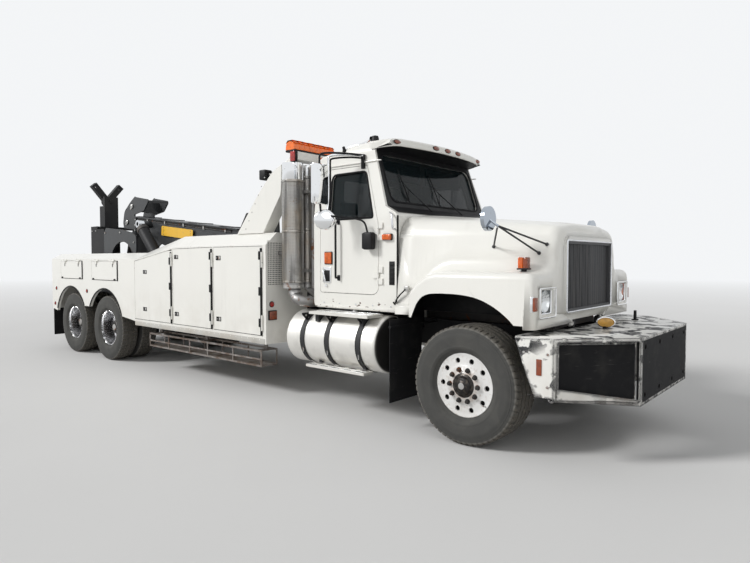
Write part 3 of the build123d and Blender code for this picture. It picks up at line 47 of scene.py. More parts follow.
# Radius and width of each tyre, the wheels' outer faces, and the step between twin tyres.
FRONT_TYRE, TWIN_TYRE = (0.535, 0.385), (0.525, 0.28)
FRONT_FACE, TWIN_FACE, TWIN_STEP = 1.225, 1.235, 0.325
RIM_RADIUS, STUDS, STUD_CIRCLE = 0.28575, 10, 0.1429
TAU = 2 * pi
BOTH = (-1, 1)
X, Z = (1, 0, 0), (0, 0, 1)
SIDES = ((-1, "right"), (1, "left"))


# Materials

class Finish:
    """A Principled material and the short calls that add nodes to it."""

    def __init__(self, name, color, rough, metal=0.0, **sockets):
        self.mat = bpy.data.materials.new(name)
        self.mat.use_nodes = True
        self.tree = self.mat.node_tree
        self.shader = self.tree.nodes["Principled BSDF"]
        self.color, self.rough, self.normal = (*color, 1), rough, None
        self.set(self.shader, {"Base Color": self.color, "Roughness": rough, "Metallic": metal, **sockets})
        self.place = self.node("TexCoord").outputs["Object"]
        self.parts = None

    def set(self, node, inputs):
        for key, value in inputs.items():
            if isinstance(value, bpy.types.NodeSocket):
                self.tree.links.new(value, node.inputs[key])
            else:
                node.inputs[key].default_value = value

    def node(self, kind, inputs=None, **settings):
        node = self.tree.nodes.new("ShaderNode" + kind)
        for key, value in settings.items():
            setattr(node, key, value)
        self.set(node, inputs or {})
        return node

    def math(self, operation, *values):
        return self.node("Math", dict(enumerate(values)), operation=operation).outputs[0]

    def times(self, a, b):
        return self.math("MULTIPLY", a, b)

    def axis(self, k):
        if self.parts is None:
            self.parts = self.node("SeparateXYZ", {0: self.place}).outputs
        return self.parts[k]

    def span(self, value, start, end, low=0.0, high=1.0):
        """0 to 1, or low to high, as value goes from start to end."""
        inputs = {"Value": value, "From Min": start, "From Max": end, "To Min": low, "To Max": high}
        return self.node("MapRange", inputs).outputs[0]

    def stretched(self, stretch):
        if stretch is None:
            return self.place
        return self.node("VectorMath", {0: self.place, 1: stretch}, operation="MULTIPLY").outputs[0]

    def noise(self, scale, detail=3.0, stretch=None, warp=0.0):
        inputs = {"Vector": self.stretched(stretch), "Scale": scale, "Detail": detail, "Distortion": warp}
        return self.node("TexNoise", inputs).outputs["Fac"]

    def cells(self, scale):
        return self.node("TexVoronoi", {"Vector": self.place, "Scale": scale}).outputs["Distance"]

    def ring(self, x, z, y=None):
        """Distance from a line along y through (x, z), or from a point when y is given, on either side."""
        dx, dz = self.math("SUBTRACT", self.axis(0), x + FRONT_AXLE), self.math("SUBTRACT", self.axis(2), z)
        total = self.math("ADD", self.times(dx, dx), self.times(dz, dz))
        if y is not None:
            dy = self.math("SUBTRACT", self.math("ABSOLUTE", self.axis(1)), y)
            total = self.math("ADD", total, self.times(dy, dy))
        return self.math("SQRT", total)

    def tint(self, amount, color):
        """Mixes a colour in by amount."""
        mix = self.node("Mix", {0: amount, 6: self.color, 7: (*color, 1)}, data_type="RGBA")
        self.color = mix.outputs[2]
        self.set(self.shader, {"Base Color": self.color})

    def stain(self, color, start, end, amount, *noise):
        """Mixes a colour in where a noise rises from start to end."""
        self.tint(self.span(self.noise(*noise), start, end, 0, amount), color)

    def specks(self, color, limit, soft, *noise):
        """Mixes a colour in where a noise is over limit."""
        self.tint(self.over(self.noise(*noise), limit, soft), color)

    def dull(self, amount, rough):
        """Moves the roughness towards rough by amount."""
        self.rough = self.node("Mix", {0: amount, 2: self.rough, 3: rough}).outputs[0]
        self.set(self.shader, {"Roughness": self.rough})

    def unmetal(self, amount, metal=0.0):
        start = self.shader.inputs["Metallic"].default_value
        self.set(self.shader, {"Metallic": self.span(amount, 0, 1, start, metal)})

    def round_edges(self, radius, wear=None):
        """Rounds sharp edges in the shading, and returns how near an edge is within wear, from 0 to 1."""
        soft = self.node("Bevel", {"Radius": radius}, samples=4).outputs[0]
        if self.normal is None:
            self.normal = soft
            self.set(self.shader, {"Normal": soft})
        if wear:
            soft = self.node("Bevel", {"Radius": wear}, samples=6).outputs[0]
        flat = self.node("NewGeometry").outputs["Normal"]
        dot = self.node("VectorMath", {0: soft, 1: flat}, operation="DOT_PRODUCT").outputs["Value"]
        return self.span(dot, 0.995, 0.85)

    def bump(self, height, distance, strength=1.0):
        inputs = {"Height": height, "Distance": distance, "Strength": strength}
        if self.normal is not None:
            inputs["Normal"] = self.normal
        self.normal = self.node("Bump", inputs).outputs[0]
        self.set(self.shader, {"Normal": self.normal})

    def over(self, value, limit, soft=0.04):
        return self.span(value, limit - soft, limit + soft)


RUST, DUST, GRIME = (0.2, 0.075, 0.03), (0.42, 0.37, 0.3), (0.1, 0.085, 0.07)


def paint(name, color, rough, chips=0.0, chip=(0.05, 0.05, 0.055), grime=0.4, rust=0.0, edge=0.004,
          wear=None):
    """Gloss paint with a faint mottle, rain streaks, dust low down, chipped edges and rust specks."""
    m = Finish(name, color, rough, **{"Coat Weight": 0.25, "Coat Roughness": 0.12})
    m.tint(m.span(m.noise(1.3, 4), 0.4, 0.72, 0, 0.1), tuple(0.82 * c for c in color))
    streak = m.times(m.over(m.noise(7, 5, (1, 1, 0.07)), 0.6, 0.09), m.span(m.noise(0.9), 0.45, 0.7))
    m.tint(m.times(streak, 0.34 * grime), GRIME)
    low = m.times(m.span(m.axis(2), 1.35, 0.45), m.span(m.noise(5, 6), 0.35, 0.75))
    m.tint(m.times(low, grime), DUST)
    m.dull(m.times(m.math("MAXIMUM", low, streak), 0.6), 0.75)
    m.bump(m.noise(160, 1), 0.0003, 0.25)
    worn = m.round_edges(edge, wear)
    if chips:
        mask = m.times(m.over(worn, 0.3 - 0.12 * chips, 0.1),
                       m.over(m.noise(14, 6), 0.62 - 0.25 * chips, 0.03))
        m.tint(mask, chip)
        m.dull(mask, 0.8)
    if rust:
        spots = m.times(m.over(m.noise(55, 3), 0.76 - 0.05 * rust, 0.012),
                        m.over(m.noise(1.7, 3), 0.6 - 0.1 * rust, 0.05))
        m.tint(spots, RUST)
        m.dull(spots, 0.9)
        edges = m.times(m.over(worn, 0.35, 0.2), m.over(m.noise(8, 5), 0.66 - 0.1 * rust, 0.04))
        m.tint(m.times(edges, 0.8), RUST)
    return m


def white_paint():
    """White gloss, with rust spots along the cab's sill."""
    m = paint("white_paint", (0.8, 0.788, 0.74), 0.28, chips=0.05, grime=0.35, rust=0.12)
    sill = m.times(m.span(m.axis(2), 1.215, 1.185), m.span(m.axis(2), 1.09, 1.12))
    ahead = m.times(sill, m.times(m.over(m.axis(0), 1.9, 0.02), m.span(m.axis(0), 3.16, 3.13)))
    m.tint(m.times(ahead, m.over(m.noise(15, 6, (1, 1, 2)), 0.63, 0.012)), (0.085, 0.045, 0.028))
    return m


def bumper_paint():
    m = paint("bumper_paint", (0.78, 0.77, 0.73), 0.36, chips=1.0, chip=(0.02, 0.02, 0.024), grime=0.45,
              rust=0.4, edge=0.004, wear=0.03)
    scrape = m.times(m.over(m.noise(3.2, 6, (1, 1, 3)), 0.67, 0.02), m.over(m.noise(30, 3), 0.45))
    m.tint(scrape, (0.06, 0.06, 0.065))
    broad = m.times(m.over(m.round_edges(0.004, 0.055), 0.2, 0.03), m.over(m.noise(8, 7), 0.52, 0.015))
    m.tint(broad, (0.012, 0.012, 0.014))
    m.dull(broad, 0.8)
    return m


def steel_paint(name, color, rough):
    m = paint(name, color, rough, chips=0.35, chip=(0.16, 0.155, 0.15), grime=0.35, rust=0.25, edge=0.005)
    m.tint(m.times(m.over(m.noise(9, 6), 0.6, 0.12), 0.35), tuple(min(1, 1.7 * c) for c in color))
    return m


def black_paint():
    """Dull black paint with rubbed edges and a little dust."""
    m = Finish("black_paint", (0.007, 0.007, 0.008), 0.55, **{"Specular IOR Level": 0.3})
    m.stain((0.04, 0.038, 0.034), 0.5, 0.8, 0.35, 3, 5)
    worn = m.times(m.over(m.round_edges(0.005), 0.35, 0.15), m.over(m.noise(14, 6), 0.56, 0.04))
    m.tint(worn, (0.1, 0.095, 0.09))
    m.bump(m.noise(130, 2), 0.0005, 0.3)
    return m


def tyre_rubber():
    """Dusty rubber: a paler side wall with fine rings, and a worn brown tread."""
    m = Finish("tyre_rubber", (0.05, 0.05, 0.048), 0.86, **{"Specular IOR Level": 0.35})
    nearest = None
    for x, z in ((0, FRONT_TYRE[0]), (AXLE_1, TWIN_TYRE[0]), (AXLE_2, TWIN_TYRE[0])):
        r = m.ring(x, z)
        nearest = r if nearest is None else m.math("MINIMUM", nearest, r)
    dusty = m.span(m.noise(6, 6, None, 1.0), 0.32, 0.72, 0.15, 0.85)
    m.tint(m.times(dusty, m.span(nearest, 0.3, 0.42, 0.45, 0.3)), (0.13, 0.125, 0.11))
    scuffed = m.times(m.span(nearest, 0.498, 0.505), m.span(nearest, 0.517, 0.511))
    m.tint(m.times(scuffed, m.span(m.noise(15, 4), 0.3, 0.6, 0.2, 0.7)), (0.21, 0.2, 0.18))
    tread = m.over(nearest, 0.512, 0.008)
    m.tint(m.times(tread, m.span(m.noise(26, 5), 0.3, 0.62, 0.2, 0.85)), (0.105, 0.094, 0.077))
    m.tint(m.times(m.times(m.over(m.noise(70, 2), 0.66, 0.03), tread), 0.5), (0.24, 0.215, 0.18))
    rings = m.math("SINE", m.times(nearest, 900))
    m.bump(m.math("ADD", m.times(rings, 0.25), m.noise(300, 2)), 0.0006, 0.5)
    return m


def rubber():
    m = Finish("rubber", (0.006, 0.006, 0.007), 0.75, **{"Specular IOR Level": 0.22})
    m.stain((0.045, 0.043, 0.039), 0.5, 0.8, 0.35, 7, 6)
    scuff = m.over(m.noise(11, 5, (1, 1, 5)), 0.68, 0.03)
    m.tint(m.times(scuff, 0.25), (0.09, 0.085, 0.08))
    m.bump(m.noise(220, 3), 0.0008, 0.5)
    m.round_edges(0.004)
    return m


def plastic():
    m = Finish("black_plastic", (0.006, 0.006, 0.007), 0.5, **{"Specular IOR Level": 0.25})
    m.stain((0.045, 0.043, 0.04), 0.5, 0.8, 0.3, 10, 4)
    m.bump(m.noise(500, 2), 0.0004, 0.4)
    return m


def metal(name, color, rough, grime=0.4, grain=(1, 1, 1), brushed=0.35, rust=0.0):
    """Bare metal with a brushed grain, smudges and dirt."""
    m = Finish(name, color, rough, 1.0)
    m.dull(m.span(m.noise(60, 4, grain), 0.3, 0.7, 0, brushed), 0.55)
    dirt = m.span(m.noise(5, 6), 0.52, 0.8, 0, grime)
    m.tint(dirt, (0.16, 0.145, 0.125))
    m.dull(dirt, 0.85)
    if rust:
        spots = m.over(m.noise(13, 7, None, 0.6), 0.66 - 0.14 * rust, 0.05)
        m.tint(spots, RUST)
        m.dull(spots, 0.92)
        m.unmetal(spots)
    m.bump(m.noise(90, 3, grain), 0.0005, 0.35)
    m.round_edges(0.003)
    return m


def tank_metal():
    """Polished aluminium with soft dents, and painted shade darkening the tank's front end."""
    m = metal("tank_metal", (0.8, 0.785, 0.745), 0.36, 0.3, (0.08, 1, 1), 0.4)
    m.bump(m.noise(2.3, 2), 0.015, 0.2)
    m.set(m.shader, {"Metallic": 0.6})
    # Painted shade: the tank's front end, which faces away from the light, is tinted dark.
    m.tint(m.over(m.axis(0), 3.008, 0.006), (0.06, 0.058, 0.055))
    return m


def step_metal():
    """Cream step plates on black straps and brackets."""
    m = metal("step_metal", (0.74, 0.725, 0.68), 0.42, 0.35, (0.2, 1, 1), 0.3)
    m.set(m.shader, {"Metallic": 0.5})
    dark = m.times(m.over(m.axis(2), 0.503, 0.003), m.span(m.axis(2), 1.051, 1.047))
    m.tint(dark, (0.012, 0.012, 0.013))
    m.dull(dark, 0.6)
    m.unmetal(dark)
    return m


def rack_metal():
    """Bare steel gone grey and brown."""
    m = metal("rack_metal", (0.24, 0.22, 0.205), 0.55, 0.8, (0.2, 1, 1), 0.4)
    m.set(m.shader, {"Metallic": 0.45})
    m.stain((0.105, 0.066, 0.045), 0.42, 0.62, 0.85, 7, 7, None, 0.5)
    m.specks((0.33, 0.31, 0.29), 0.64, 0.04, 19, 5)
    return m


def grille_metal():
    """A dark screen of fine upright wires."""
    m = Finish("grille_metal", (0.05, 0.051, 0.054), 0.5, 0.4)
    wires = m.math("SINE", m.times(m.axis(1), 800))
    m.tint(m.over(wires, 0.55, 0.3), (0.105, 0.107, 0.112))
    m.stain((0.13, 0.12, 0.115), 0.5, 0.8, 0.6, 30, 4, (1, 1, 0.03))
    m.bump(wires, 0.001, 0.6)
    return m


def shield_metal():
    """Stainless shields with a straw tint from heat, and dark upright streaks painted on as reflections."""
    m = metal("stainless", (0.44, 0.43, 0.41), 0.28, 0.55, (1, 1, 0.06), 0.6)
    # Painted reflection: dark upright streaks, as of dark surroundings reflected in the round shields.
    m.specks((0.16, 0.155, 0.15), 0.55, 0.08, 17, 5, (1, 1, 0.05))
    m.tint(m.times(m.over(m.noise(4, 5), 0.55, 0.12), 0.45), (0.46, 0.37, 0.27))
    return m


def elbow_metal():
    return metal("pipe_steel", (0.33, 0.325, 0.32), 0.5, 0.6, (1, 1, 1), 0.5, 0.12)


def chrome(name="chrome", color=(0.86, 0.87, 0.88)):
    m = Finish(name, color, 0.05, 1.0)
    m.dull(m.span(m.noise(11, 5), 0.55, 0.85), 0.3)
    m.stain((0.3, 0.28, 0.25), 0.66, 0.8, 0.5, 30, 4)
    return m


def mirror_parts():
    """Chrome heads and outer tube, with black arms near the door."""
    m = chrome("mirror_parts")
    arm = m.math("SUBTRACT", 1.0, m.over(m.math("ABSOLUTE", m.axis(1)), 1.272, 0.004))
    m.tint(arm, (0.014, 0.014, 0.015))
    m.dull(arm, 0.5)
    m.unmetal(arm)
    return m


def hood_mirror_parts():
    """A chrome shell on dark tripod legs."""
    m = chrome("hood_mirror_parts", (0.42, 0.46, 0.51))
    away = m.over(m.ring(0.2325, 1.99, 1.19), 0.109, 0.002)
    m.tint(away, (0.045, 0.045, 0.047))
    m.dull(away, 0.5)
    m.unmetal(away, 0.5)
    return m


def glass(name, color, alpha):
    """Tinted glass: a clear share, with dull patches of dust."""
    m = Finish(name, color, 0.03, Alpha=alpha, **{"IOR": 1.45, "Specular IOR Level": 0.3})
    m.dull(m.span(m.noise(3, 5), 0.6, 0.9, 0, 0.3), 0.5)
    return m


def lens(name, color, pitch, glow=0.0):
    """Moulded lamp plastic with fine flutes and a dark bowl behind them."""
    m = Finish(name, color, 0.16, **{"Coat Weight": 0.5, "Coat Roughness": 0.05})
    m.tint(m.span(m.noise(26, 2), 0.42, 0.68, 0, 0.45), tuple(0.3 * c for c in color))
    flutes = m.math("SINE", m.times(m.math("ADD", m.axis(0), m.axis(1)), pitch))
    m.bump(flutes, 0.0012, 0.6)
    if glow:
        m.set(m.shader, {"Emission Color": (*color, 1), "Emission Strength": glow})
    return m


def interior():
    m = Finish("interior", (0.04, 0.04, 0.043), 0.62)
    m.stain((0.085, 0.08, 0.075), 0.45, 0.75, 0.4, 4, 4)
    m.bump(m.cells(420), 0.0008, 0.5)
    return m


def seat_cloth():
    """Woven cloth: crossed threads, soft sheen and wear on the crowns."""
    m = Finish("seat_cloth", (0.06, 0.062, 0.068), 0.92, **{"Sheen Weight": 0.35, "Sheen Roughness": 0.5})
    along = m.math("SINE", m.times(m.axis(1), 2600))
    across = m.math("SINE", m.times(m.math("ADD", m.axis(0), m.axis(2)), 2600))
    m.stain((0.12, 0.12, 0.13), 0.35, 0.65, 0.5, 420, 2)
    m.bump(m.times(along, across), 0.0006, 0.7)
    return m


def iron():
    m = metal("cast_iron", (0.06, 0.057, 0.055), 0.62, 0.6, (1, 1, 1), 0.6, 0.1)
    m.unmetal(m.noise(3, 3), 0.4)
    m.bump(m.noise(120, 4), 0.0015, 0.6)
    return m


def hub_grease():
    m = Finish("hub_grease", (0.022, 0.02, 0.019), 0.3, 0.6)
    m.stain((0.11, 0.09, 0.07), 0.48, 0.75, 0.7, 34, 5)
    m.dull(m.span(m.noise(18, 4), 0.45, 0.75), 0.8)
    m.bump(m.noise(70, 4), 0.002, 0.5)
    return m


def wheel_white():
    m = paint("wheel_white", (0.74, 0.735, 0.72), 0.38, chips=0.3, grime=0.3, rust=0.5)
    bolts = m.span(m.ring(0, FRONT_TYRE[0]), 0.175, 0.115)
    m.tint(m.times(bolts, m.span(m.noise(24, 5), 0.35, 0.65, 0.1, 0.75)), (0.36, 0.25, 0.18))
    m.stain((0.47, 0.38, 0.32), 0.56, 0.74, 0.6, 40, 5)
    return m


def rim_inside():
    m = metal("rim_inside", (0.3, 0.3, 0.31), 0.45, 0.9, (1, 1, 1), 0.7)
    m.stain((0.09, 0.085, 0.08), 0.45, 0.7, 0.6, 16, 5)
    return m


def deck_plate():
    """Tread plate: raised lozenges in two crossing directions."""
    m = steel_paint("deck_plate", (0.055, 0.057, 0.06), 0.55)
    across, along = m.math("ADD", m.axis(0), m.axis(1)), m.math("SUBTRACT", m.axis(0), m.axis(1))
    waves = m.times(m.math("SINE", m.times(across, 95)), m.math("SINE", m.times(along, 230)))
    m.bump(m.over(waves, 0.45, 0.15), 0.003, 0.8)
    return m


def sign_yellow():
    m = paint("sign_yellow", (0.8, 0.46, 0.02), 0.45, grime=0.3, chips=0.3, edge=0.002)
    m.specks((0.55, 0.36, 0.1), 0.68, 0.04, 21, 5)
    return m


def rope():
    m = Finish("wire_rope", (0.15, 0.145, 0.14), 0.55, 0.85)
    lay = m.math("SINE", m.times(m.math("ADD", m.axis(1), m.math("ADD", m.axis(0), m.axis(2))), 1100))
    m.stain((0.06, 0.045, 0.035), 0.5, 0.75, 0.6, 14, 4)
    m.bump(lay, 0.002, 0.8)
    return m


FINISH = {
    "white_paint": white_paint(),
    "bumper_paint": bumper_paint(),
    "black_paint": black_paint(),
    "grey_paint": steel_paint("grey_paint", (0.017, 0.019, 0.021), 0.55),
    "step_metal": step_metal(),
    "tyre": tyre_rubber(),
    "rubber": rubber(),
    "plastic": plastic(),
    "cast_iron": iron(),
    "tank_metal": tank_metal(),
    "stainless": shield_metal(),
    "pipe_steel": elbow_metal(),
    "chrome": chrome(),
    "mirror_parts": mirror_parts(),
    "hood_mirror_parts": hood_mirror_parts(),
    "rod_chrome": chrome("rod_chrome", (0.72, 0.74, 0.76)),
    "glass": glass("glass", (0.006, 0.012, 0.014), 0.60),
    "lamp_glass": glass("lamp_glass", (0.75, 0.80, 0.82), 0.22),
    "amber": lens("amber", (0.90, 0.17, 0.008), 260, 0.10),
    "lamp_amber": lens("lamp_amber", (0.80, 0.42, 0.06), 500),
    "amber_small": lens("amber_small", (0.78, 0.13, 0.006), 900),
    # A darker copy of the small amber lens: painted shade for lamps that sit in shade.
    "shaded_amber": lens("shaded_amber", (0.27, 0.05, 0.012), 900),
    "red_lens": lens("red_lens", (0.42, 0.012, 0.008), 700),
    "clear_lens": lens("clear_lens", (0.75, 0.75, 0.72), 700),
    "interior": interior(),
    "seat_cloth": seat_cloth(),
    "grille_metal": grille_metal(),
    "silver_trim": metal("silver_trim", (0.72, 0.73, 0.75), 0.22, 0.3),
    "rack_metal": rack_metal(),
    "wheel_white": wheel_white(),
    "rim_polished": metal("rim_polished", (0.82, 0.82, 0.83), 0.16, 0.25),
    "rim_inside": rim_inside(),
    "hub_grease": hub_grease(),
    "zinc": metal("zinc", (0.46, 0.455, 0.44), 0.42, 0.5, (1, 1, 1), 0.5, 0.2),
    "deck_plate": deck_plate(),
    # Grey paint for small trim at the rear, also used as painted shade on the sill flange.
    "grey_trim_and_sill_shade": paint("grey_trim_and_sill_shade", (0.50, 0.49, 0.455), 0.5, grime=0.7),
    "sign_yellow": sign_yellow(),
    "wire_rope": rope(),
}


# Shapes

def unit(v):
    return Vector(v).normalized()


def mm(*rows):
    """Rows of millimetres as rows of metres."""
    return [tuple(value / 1000 for value in row) for row in rows]


def beside(s, *rows):
    """Points in metres from rows of millimetres whose y counts outward on side s."""
    return [(x / 1000, s * (y / 1000), z / 1000) for x, y, z in rows]


def disc(radius, height):
    """The profile of a flat disc."""
    return [(0, 0), (radius, 0), (radius, height), (0, height)]


def square_to(axis):
    """Two directions square to axis and to each other."""
    side = Vector(Z) if abs(axis.z) < 0.9 else Vector(X)
    u = axis.cross(side).normalized()
    return u, axis.cross(u)


class Build:
    """Collects shapes into one piece that rides on a body. Each shape names its finish by its number."""

    def __init__(self, name, body, *finishes, smooth=35, soften=0.0):
        self.name, self.body, self.finishes = name, body, finishes
        self.points, self.faces, self.marks = [], [], []
        self.smooth, self.soften = smooth, soften

    def add(self, points, faces, mat=0):
        start = len(self.points)
        self.points += [tuple(p) for p in points]
        self.faces += [tuple(start + i for i in f) for f in faces]
        self.marks += [mat] * len(faces)

    def box(self, x, y, z, mat=0, edge=0.0):
        """A block between two x, two y and two z, with chamfered edges."""
        mid = Vector((sum(x) / 2, sum(y) / 2, sum(z) / 2))
        half = Vector((abs(x[1] - x[0]) / 2, abs(y[1] - y[0]) / 2, abs(z[1] - z[0]) / 2))
        bm = bmesh.new()
        bmesh.ops.create_cube(bm, size=2)
        bmesh.ops.scale(bm, vec=half, verts=bm.verts)
        if edge:
            edge = min(edge, 0.45 * min(half) * 2)
            bmesh.ops.bevel(bm, geom=bm.edges[:], offset=edge, segments=2, profile=0.5, affect="EDGES")
        bm.verts.index_update()
        self.add([mid + v.co for v in bm.verts], [[v.index for v in f.verts] for f in bm.faces], mat)
        bm.free()

    def boxes(self, s, *rows):
        """Blocks on side s, from rows in millimetres: two x, two y outward, two z, finish and edge."""
        for x0, x1, y0, y1, z0, z1, mat, edge in rows:
            self.box((x0 / 1000, x1 / 1000), (s * (y0 / 1000), s * (y1 / 1000)), (z0 / 1000, z1 / 1000),
                     mat, edge / 1000)

    def turned(self, base, axis, profile, mat=0, sides=24, squash=(1, 1)):
        """A shape turned about axis from (radius, height) points; a radius of 0 closes an end."""
        axis = unit(axis)
        u, v = square_to(axis)
        base, rows, points = Vector(base), [], []
        for radius, height in profile:
            row = []
            for k in range(1 if radius == 0 else sides):
                a = TAU * k / sides
                row.append(len(points))
                points.append(base + axis * height + (u * cos(a) * squash[0]
                                                      + v * sin(a) * squash[1]) * radius)
            rows.append(row)
        faces = []
        for low, high in zip(rows, rows[1:]):
            for k in range(sides):
                n = (k + 1) % sides
                face = [low[k % len(low)], low[n % len(low)], high[n % len(high)], high[k % len(high)]]
                faces.append([i for j, i in enumerate(face) if i not in face[:j]])
        self.add(points, [f for f in faces if len(f) > 2], mat)

    def rod(self, a, b, r, mat=0, sides=16, edge=0.0, r2=None):
        """A rod from a to b, r2 thick at b, with chamfered ends."""
        a, b = Vector(a), Vector(b)
        length, r2 = (b - a).length, r if r2 is None else r2
        ends = [(0, 0), (r - edge, 0), (r, edge), (r2, length - edge), (r2 - edge, length), (0, length)]
        self.turned(a, b - a, [p for k, p in enumerate(ends) if edge or k not in (2, 4)], mat, sides)

    def pipe(self, points, r, mat=0, sides=8, closed=False, flat=1.0, up=None):
        """A tube along points. flat squeezes it across; up fixes its cross section's direction."""
        points = [Vector(p) for p in points]
        n, rings, made = len(points), [], []
        u = None
        for k, p in enumerate(points):
            before = points[k - 1] if k or closed else p
            after = points[(k + 1) % n] if k < n - 1 or closed else p
            along = (after - before).normalized()
            if up is not None:
                u = Vector(up).cross(along).normalized()
            elif u is None:
                u = square_to(along)[0]
            u = (u - along * u.dot(along)).normalized()
            v = along.cross(u)
            rings.append(range(len(made), len(made) + sides))
            made += [p + (u * cos(TAU * j / sides) + v * sin(TAU * j / sides) * flat) * r
                     for j in range(sides)]
        faces = []
        for k in range(n if closed else n - 1):
            a, b = rings[k], rings[(k + 1) % n]
            faces += [(a[j], a[(j + 1) % sides], b[(j + 1) % sides], b[j]) for j in range(sides)]
        if not closed:
            faces += [tuple(reversed(rings[0])), tuple(rings[-1])]
        self.add(made, faces, mat)

    def slab(self, outline, origin, u, v, depth, mat=0):
        """A flat plate: outline in (u, v) from origin, depth thick along u x v."""
        origin, u, v = Vector(origin), unit(u), unit(v)
        w = u.cross(v)
        n = len(outline)
        low = [origin + u * a + v * b for a, b in outline]
        points = low + [p + w * depth for p in low]
        faces = [tuple(reversed(range(n))), tuple(range(n, 2 * n))]
        faces += [(k, (k + 1) % n, n + (k + 1) % n, n + k) for k in range(n)]
        self.add(points, faces, mat)

    def collar(self, inner, outer, place, depth, mat=0):
        """A flat frame between two outlines of as many points; place turns (a, b, height) into a point."""
        n = len(inner)
        rings = ((inner, 0), (inner, depth), (outer, depth), (outer, 0))
        points = [place(a, b, h) for line, h in rings for a, b in line]
        faces = [(r * n + k, r * n + (k + 1) % n, (r + 1) % 4 * n + (k + 1) % n,
                  (r + 1) % 4 * n + k) for r in range(4) for k in range(n)]
        self.add(points, faces, mat)

    def pierced(self, place, columns, rows, pitch, hole, mat=0):
        """A sheet of square cells with a round hole in each; place turns (across, up) into a point."""
        corners = 8
        ring = [(cos(TAU * (k + 0.5) / corners), sin(TAU * (k + 0.5) / corners)) for k in range(corners)]
        for i in range(columns):
            for j in range(rows):
                cx, cy = (i + 0.5) * pitch, (j + 0.5) * pitch
                points = [place(cx + c * hole, cy + s * hole) for c, s in ring]
                for c, s in ring:
                    reach = 0.5 * pitch / max(abs(c), abs(s))
                    points.append(place(cx + c * reach, cy + s * reach))
                faces = [(k, corners + k, corners + (k + 1) % corners,
                          (k + 1) % corners) for k in range(corners)]
                self.add(points, faces, mat)
                corner = [place(cx + a * pitch / 2, cy + b * pitch / 2) for a,
                          b in ((1, 1), (-1, 1), (-1, -1), (1, -1))]
                outer = points[corners:]
                for c in corner:
                    near = sorted(range(corners), key=lambda k: (Vector(outer[k]) - Vector(c)).length)[:2]
                    self.add([c, outer[near[0]], outer[near[1]]], [(0, 1, 2)], mat)

    def nut(self, at, axis, size, height, mat=0, stud=None):
        """A hexagon nut or bolt head with a washer face and, with stud, the stud's end."""
        r = size / sqrt(3)
        self.turned(at, axis, [(0, 0), (r, 0), (r, height * 0.85), (r * 0.86, height), (0, height)], mat, 6)
        if stud:
            top = Vector(at) + unit(axis) * height
            self.turned(top, axis, [(0, -0.001), (stud, -0.001), (stud, height * 0.45),
                                    (stud * 0.8, height * 0.55), (0, height * 0.55)], mat, 10)

    def done(self):
        mesh = bpy.data.meshes.new(self.name)
        points = [(x + FRONT_AXLE, y, z) for x, y, z in self.points]
        mesh.from_pydata(points, [], self.faces)
        bm = bmesh.new()
        bm.from_mesh(mesh)
        for face, mark in zip(bm.faces, self.marks):
            face.material_index = mark
        bmesh.ops.recalc_face_normals(bm, faces=bm.faces)
        bm.to_mesh(mesh)
        bm.free()
        for finish in self.finishes:
            mesh.materials.append(FINISH[finish].mat)
        return show(mesh, self.name, self.body, self.smooth, self.soften)


def show(mesh, name, body, smooth=35, soften=0.0):
    """Puts a mesh in the scene as a piece that rides on a body."""
    obj = bpy.data.objects.new(name, mesh)
    bpy.context.scene.collection.objects.link(obj)
    if smooth:
        mesh.shade_smooth()
        mesh.set_sharp_from_angle(angle=radians(smooth))
    if soften:
        bevel = obj.modifiers.new("edges", "BEVEL")
        bevel.width, bevel.segments, bevel.limit_method = soften, 2, "ANGLE"
        bevel.angle_limit = radians(40)
    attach(obj, body)
    return obj


def arc(points, steps=6):
    """A smooth line through points (Catmull-Rom)."""
    p = [Vector(q) for q in points]
    p = [2 * p[0] - p[1]] + p + [2 * p[-1] - p[-2]]
    line = []
    for a, b, c, d in zip(p, p[1:], p[2:], p[3:]):
        for k in range(steps):
            t = k / steps
            line.append(0.5 * (2 * b + (c - a) * t + (2 * a - 5 * b + 4 * c - d) * t * t
                               + (3 * b - a - 3 * c + d) * t ** 3))
    return line + [p[-2]]


def rounded(corners, steps=4):
    """(a, b, r) corners as points, each corner rounded by its r."""
    line, n = [], len(corners)
    for k, (a, b, r) in enumerate(corners):
        p = Vector((a, b))
        before, after = Vector(corners[k - 1][:2]) - p, Vector(corners[(k + 1) % n][:2]) - p
        start, end = p + before.normalized() * r, p + after.normalized() * r
        for j in range(steps + 1 if r else 1):
            t = j / steps
            line.append(tuple(start * (1 - t) ** 2 + p * 2 * t * (1 - t) + end * t * t) if r else (a, b))
    return line


def oblong(a0, a1, b0, b1, r, steps=4):
    """The outline of a rectangle with rounded corners."""
    return rounded([(a0, b0, r), (a1, b0, r), (a1, b1, r), (a0, b1, r)], steps)


def wheel_point(x, z, r, a, y):
    """A point r from a wheel's middle (x, z), turned by a from upright."""
    return x + r * sin(a), y, z + r * cos(a)


def copy_of(node, name, finishes):
    """A copy of a CAD node's mesh as a mesh of its own, its points joined."""
    mesh = NODES[node].data.copy()
    mesh.name = name
    bm = bmesh.new()
    bm.from_mesh(mesh)
    bmesh.ops.remove_doubles(bm, verts=bm.verts, dist=1e-5)
    for face in bm.faces:
        face.material_index = 0
    bm.to_mesh(mesh)
    bm.free()
    mesh.normals_split_custom_set_from_vertices([(0, 0, 0)] * len(mesh.vertices))
    mesh.materials.clear()
    for finish in finishes:
        mesh.materials.append(FINISH[finish].mat)
    return mesh


def cut(obj, build):
    """Cuts the shapes in build out of obj."""
    tool = build.done()
    mod = obj.modifiers.new("cut", "BOOLEAN")
    mod.object, mod.solver, mod.operation = tool, "EXACT", "DIFFERENCE"
    made = bpy.data.meshes.new_from_object(obj.evaluated_get(bpy.context.evaluated_depsgraph_get()))
    obj.modifiers.clear()
    obj.data = made
    made.set_sharp_from_angle(angle=radians(30))
    bpy.data.objects.remove(tool)


# Wheels

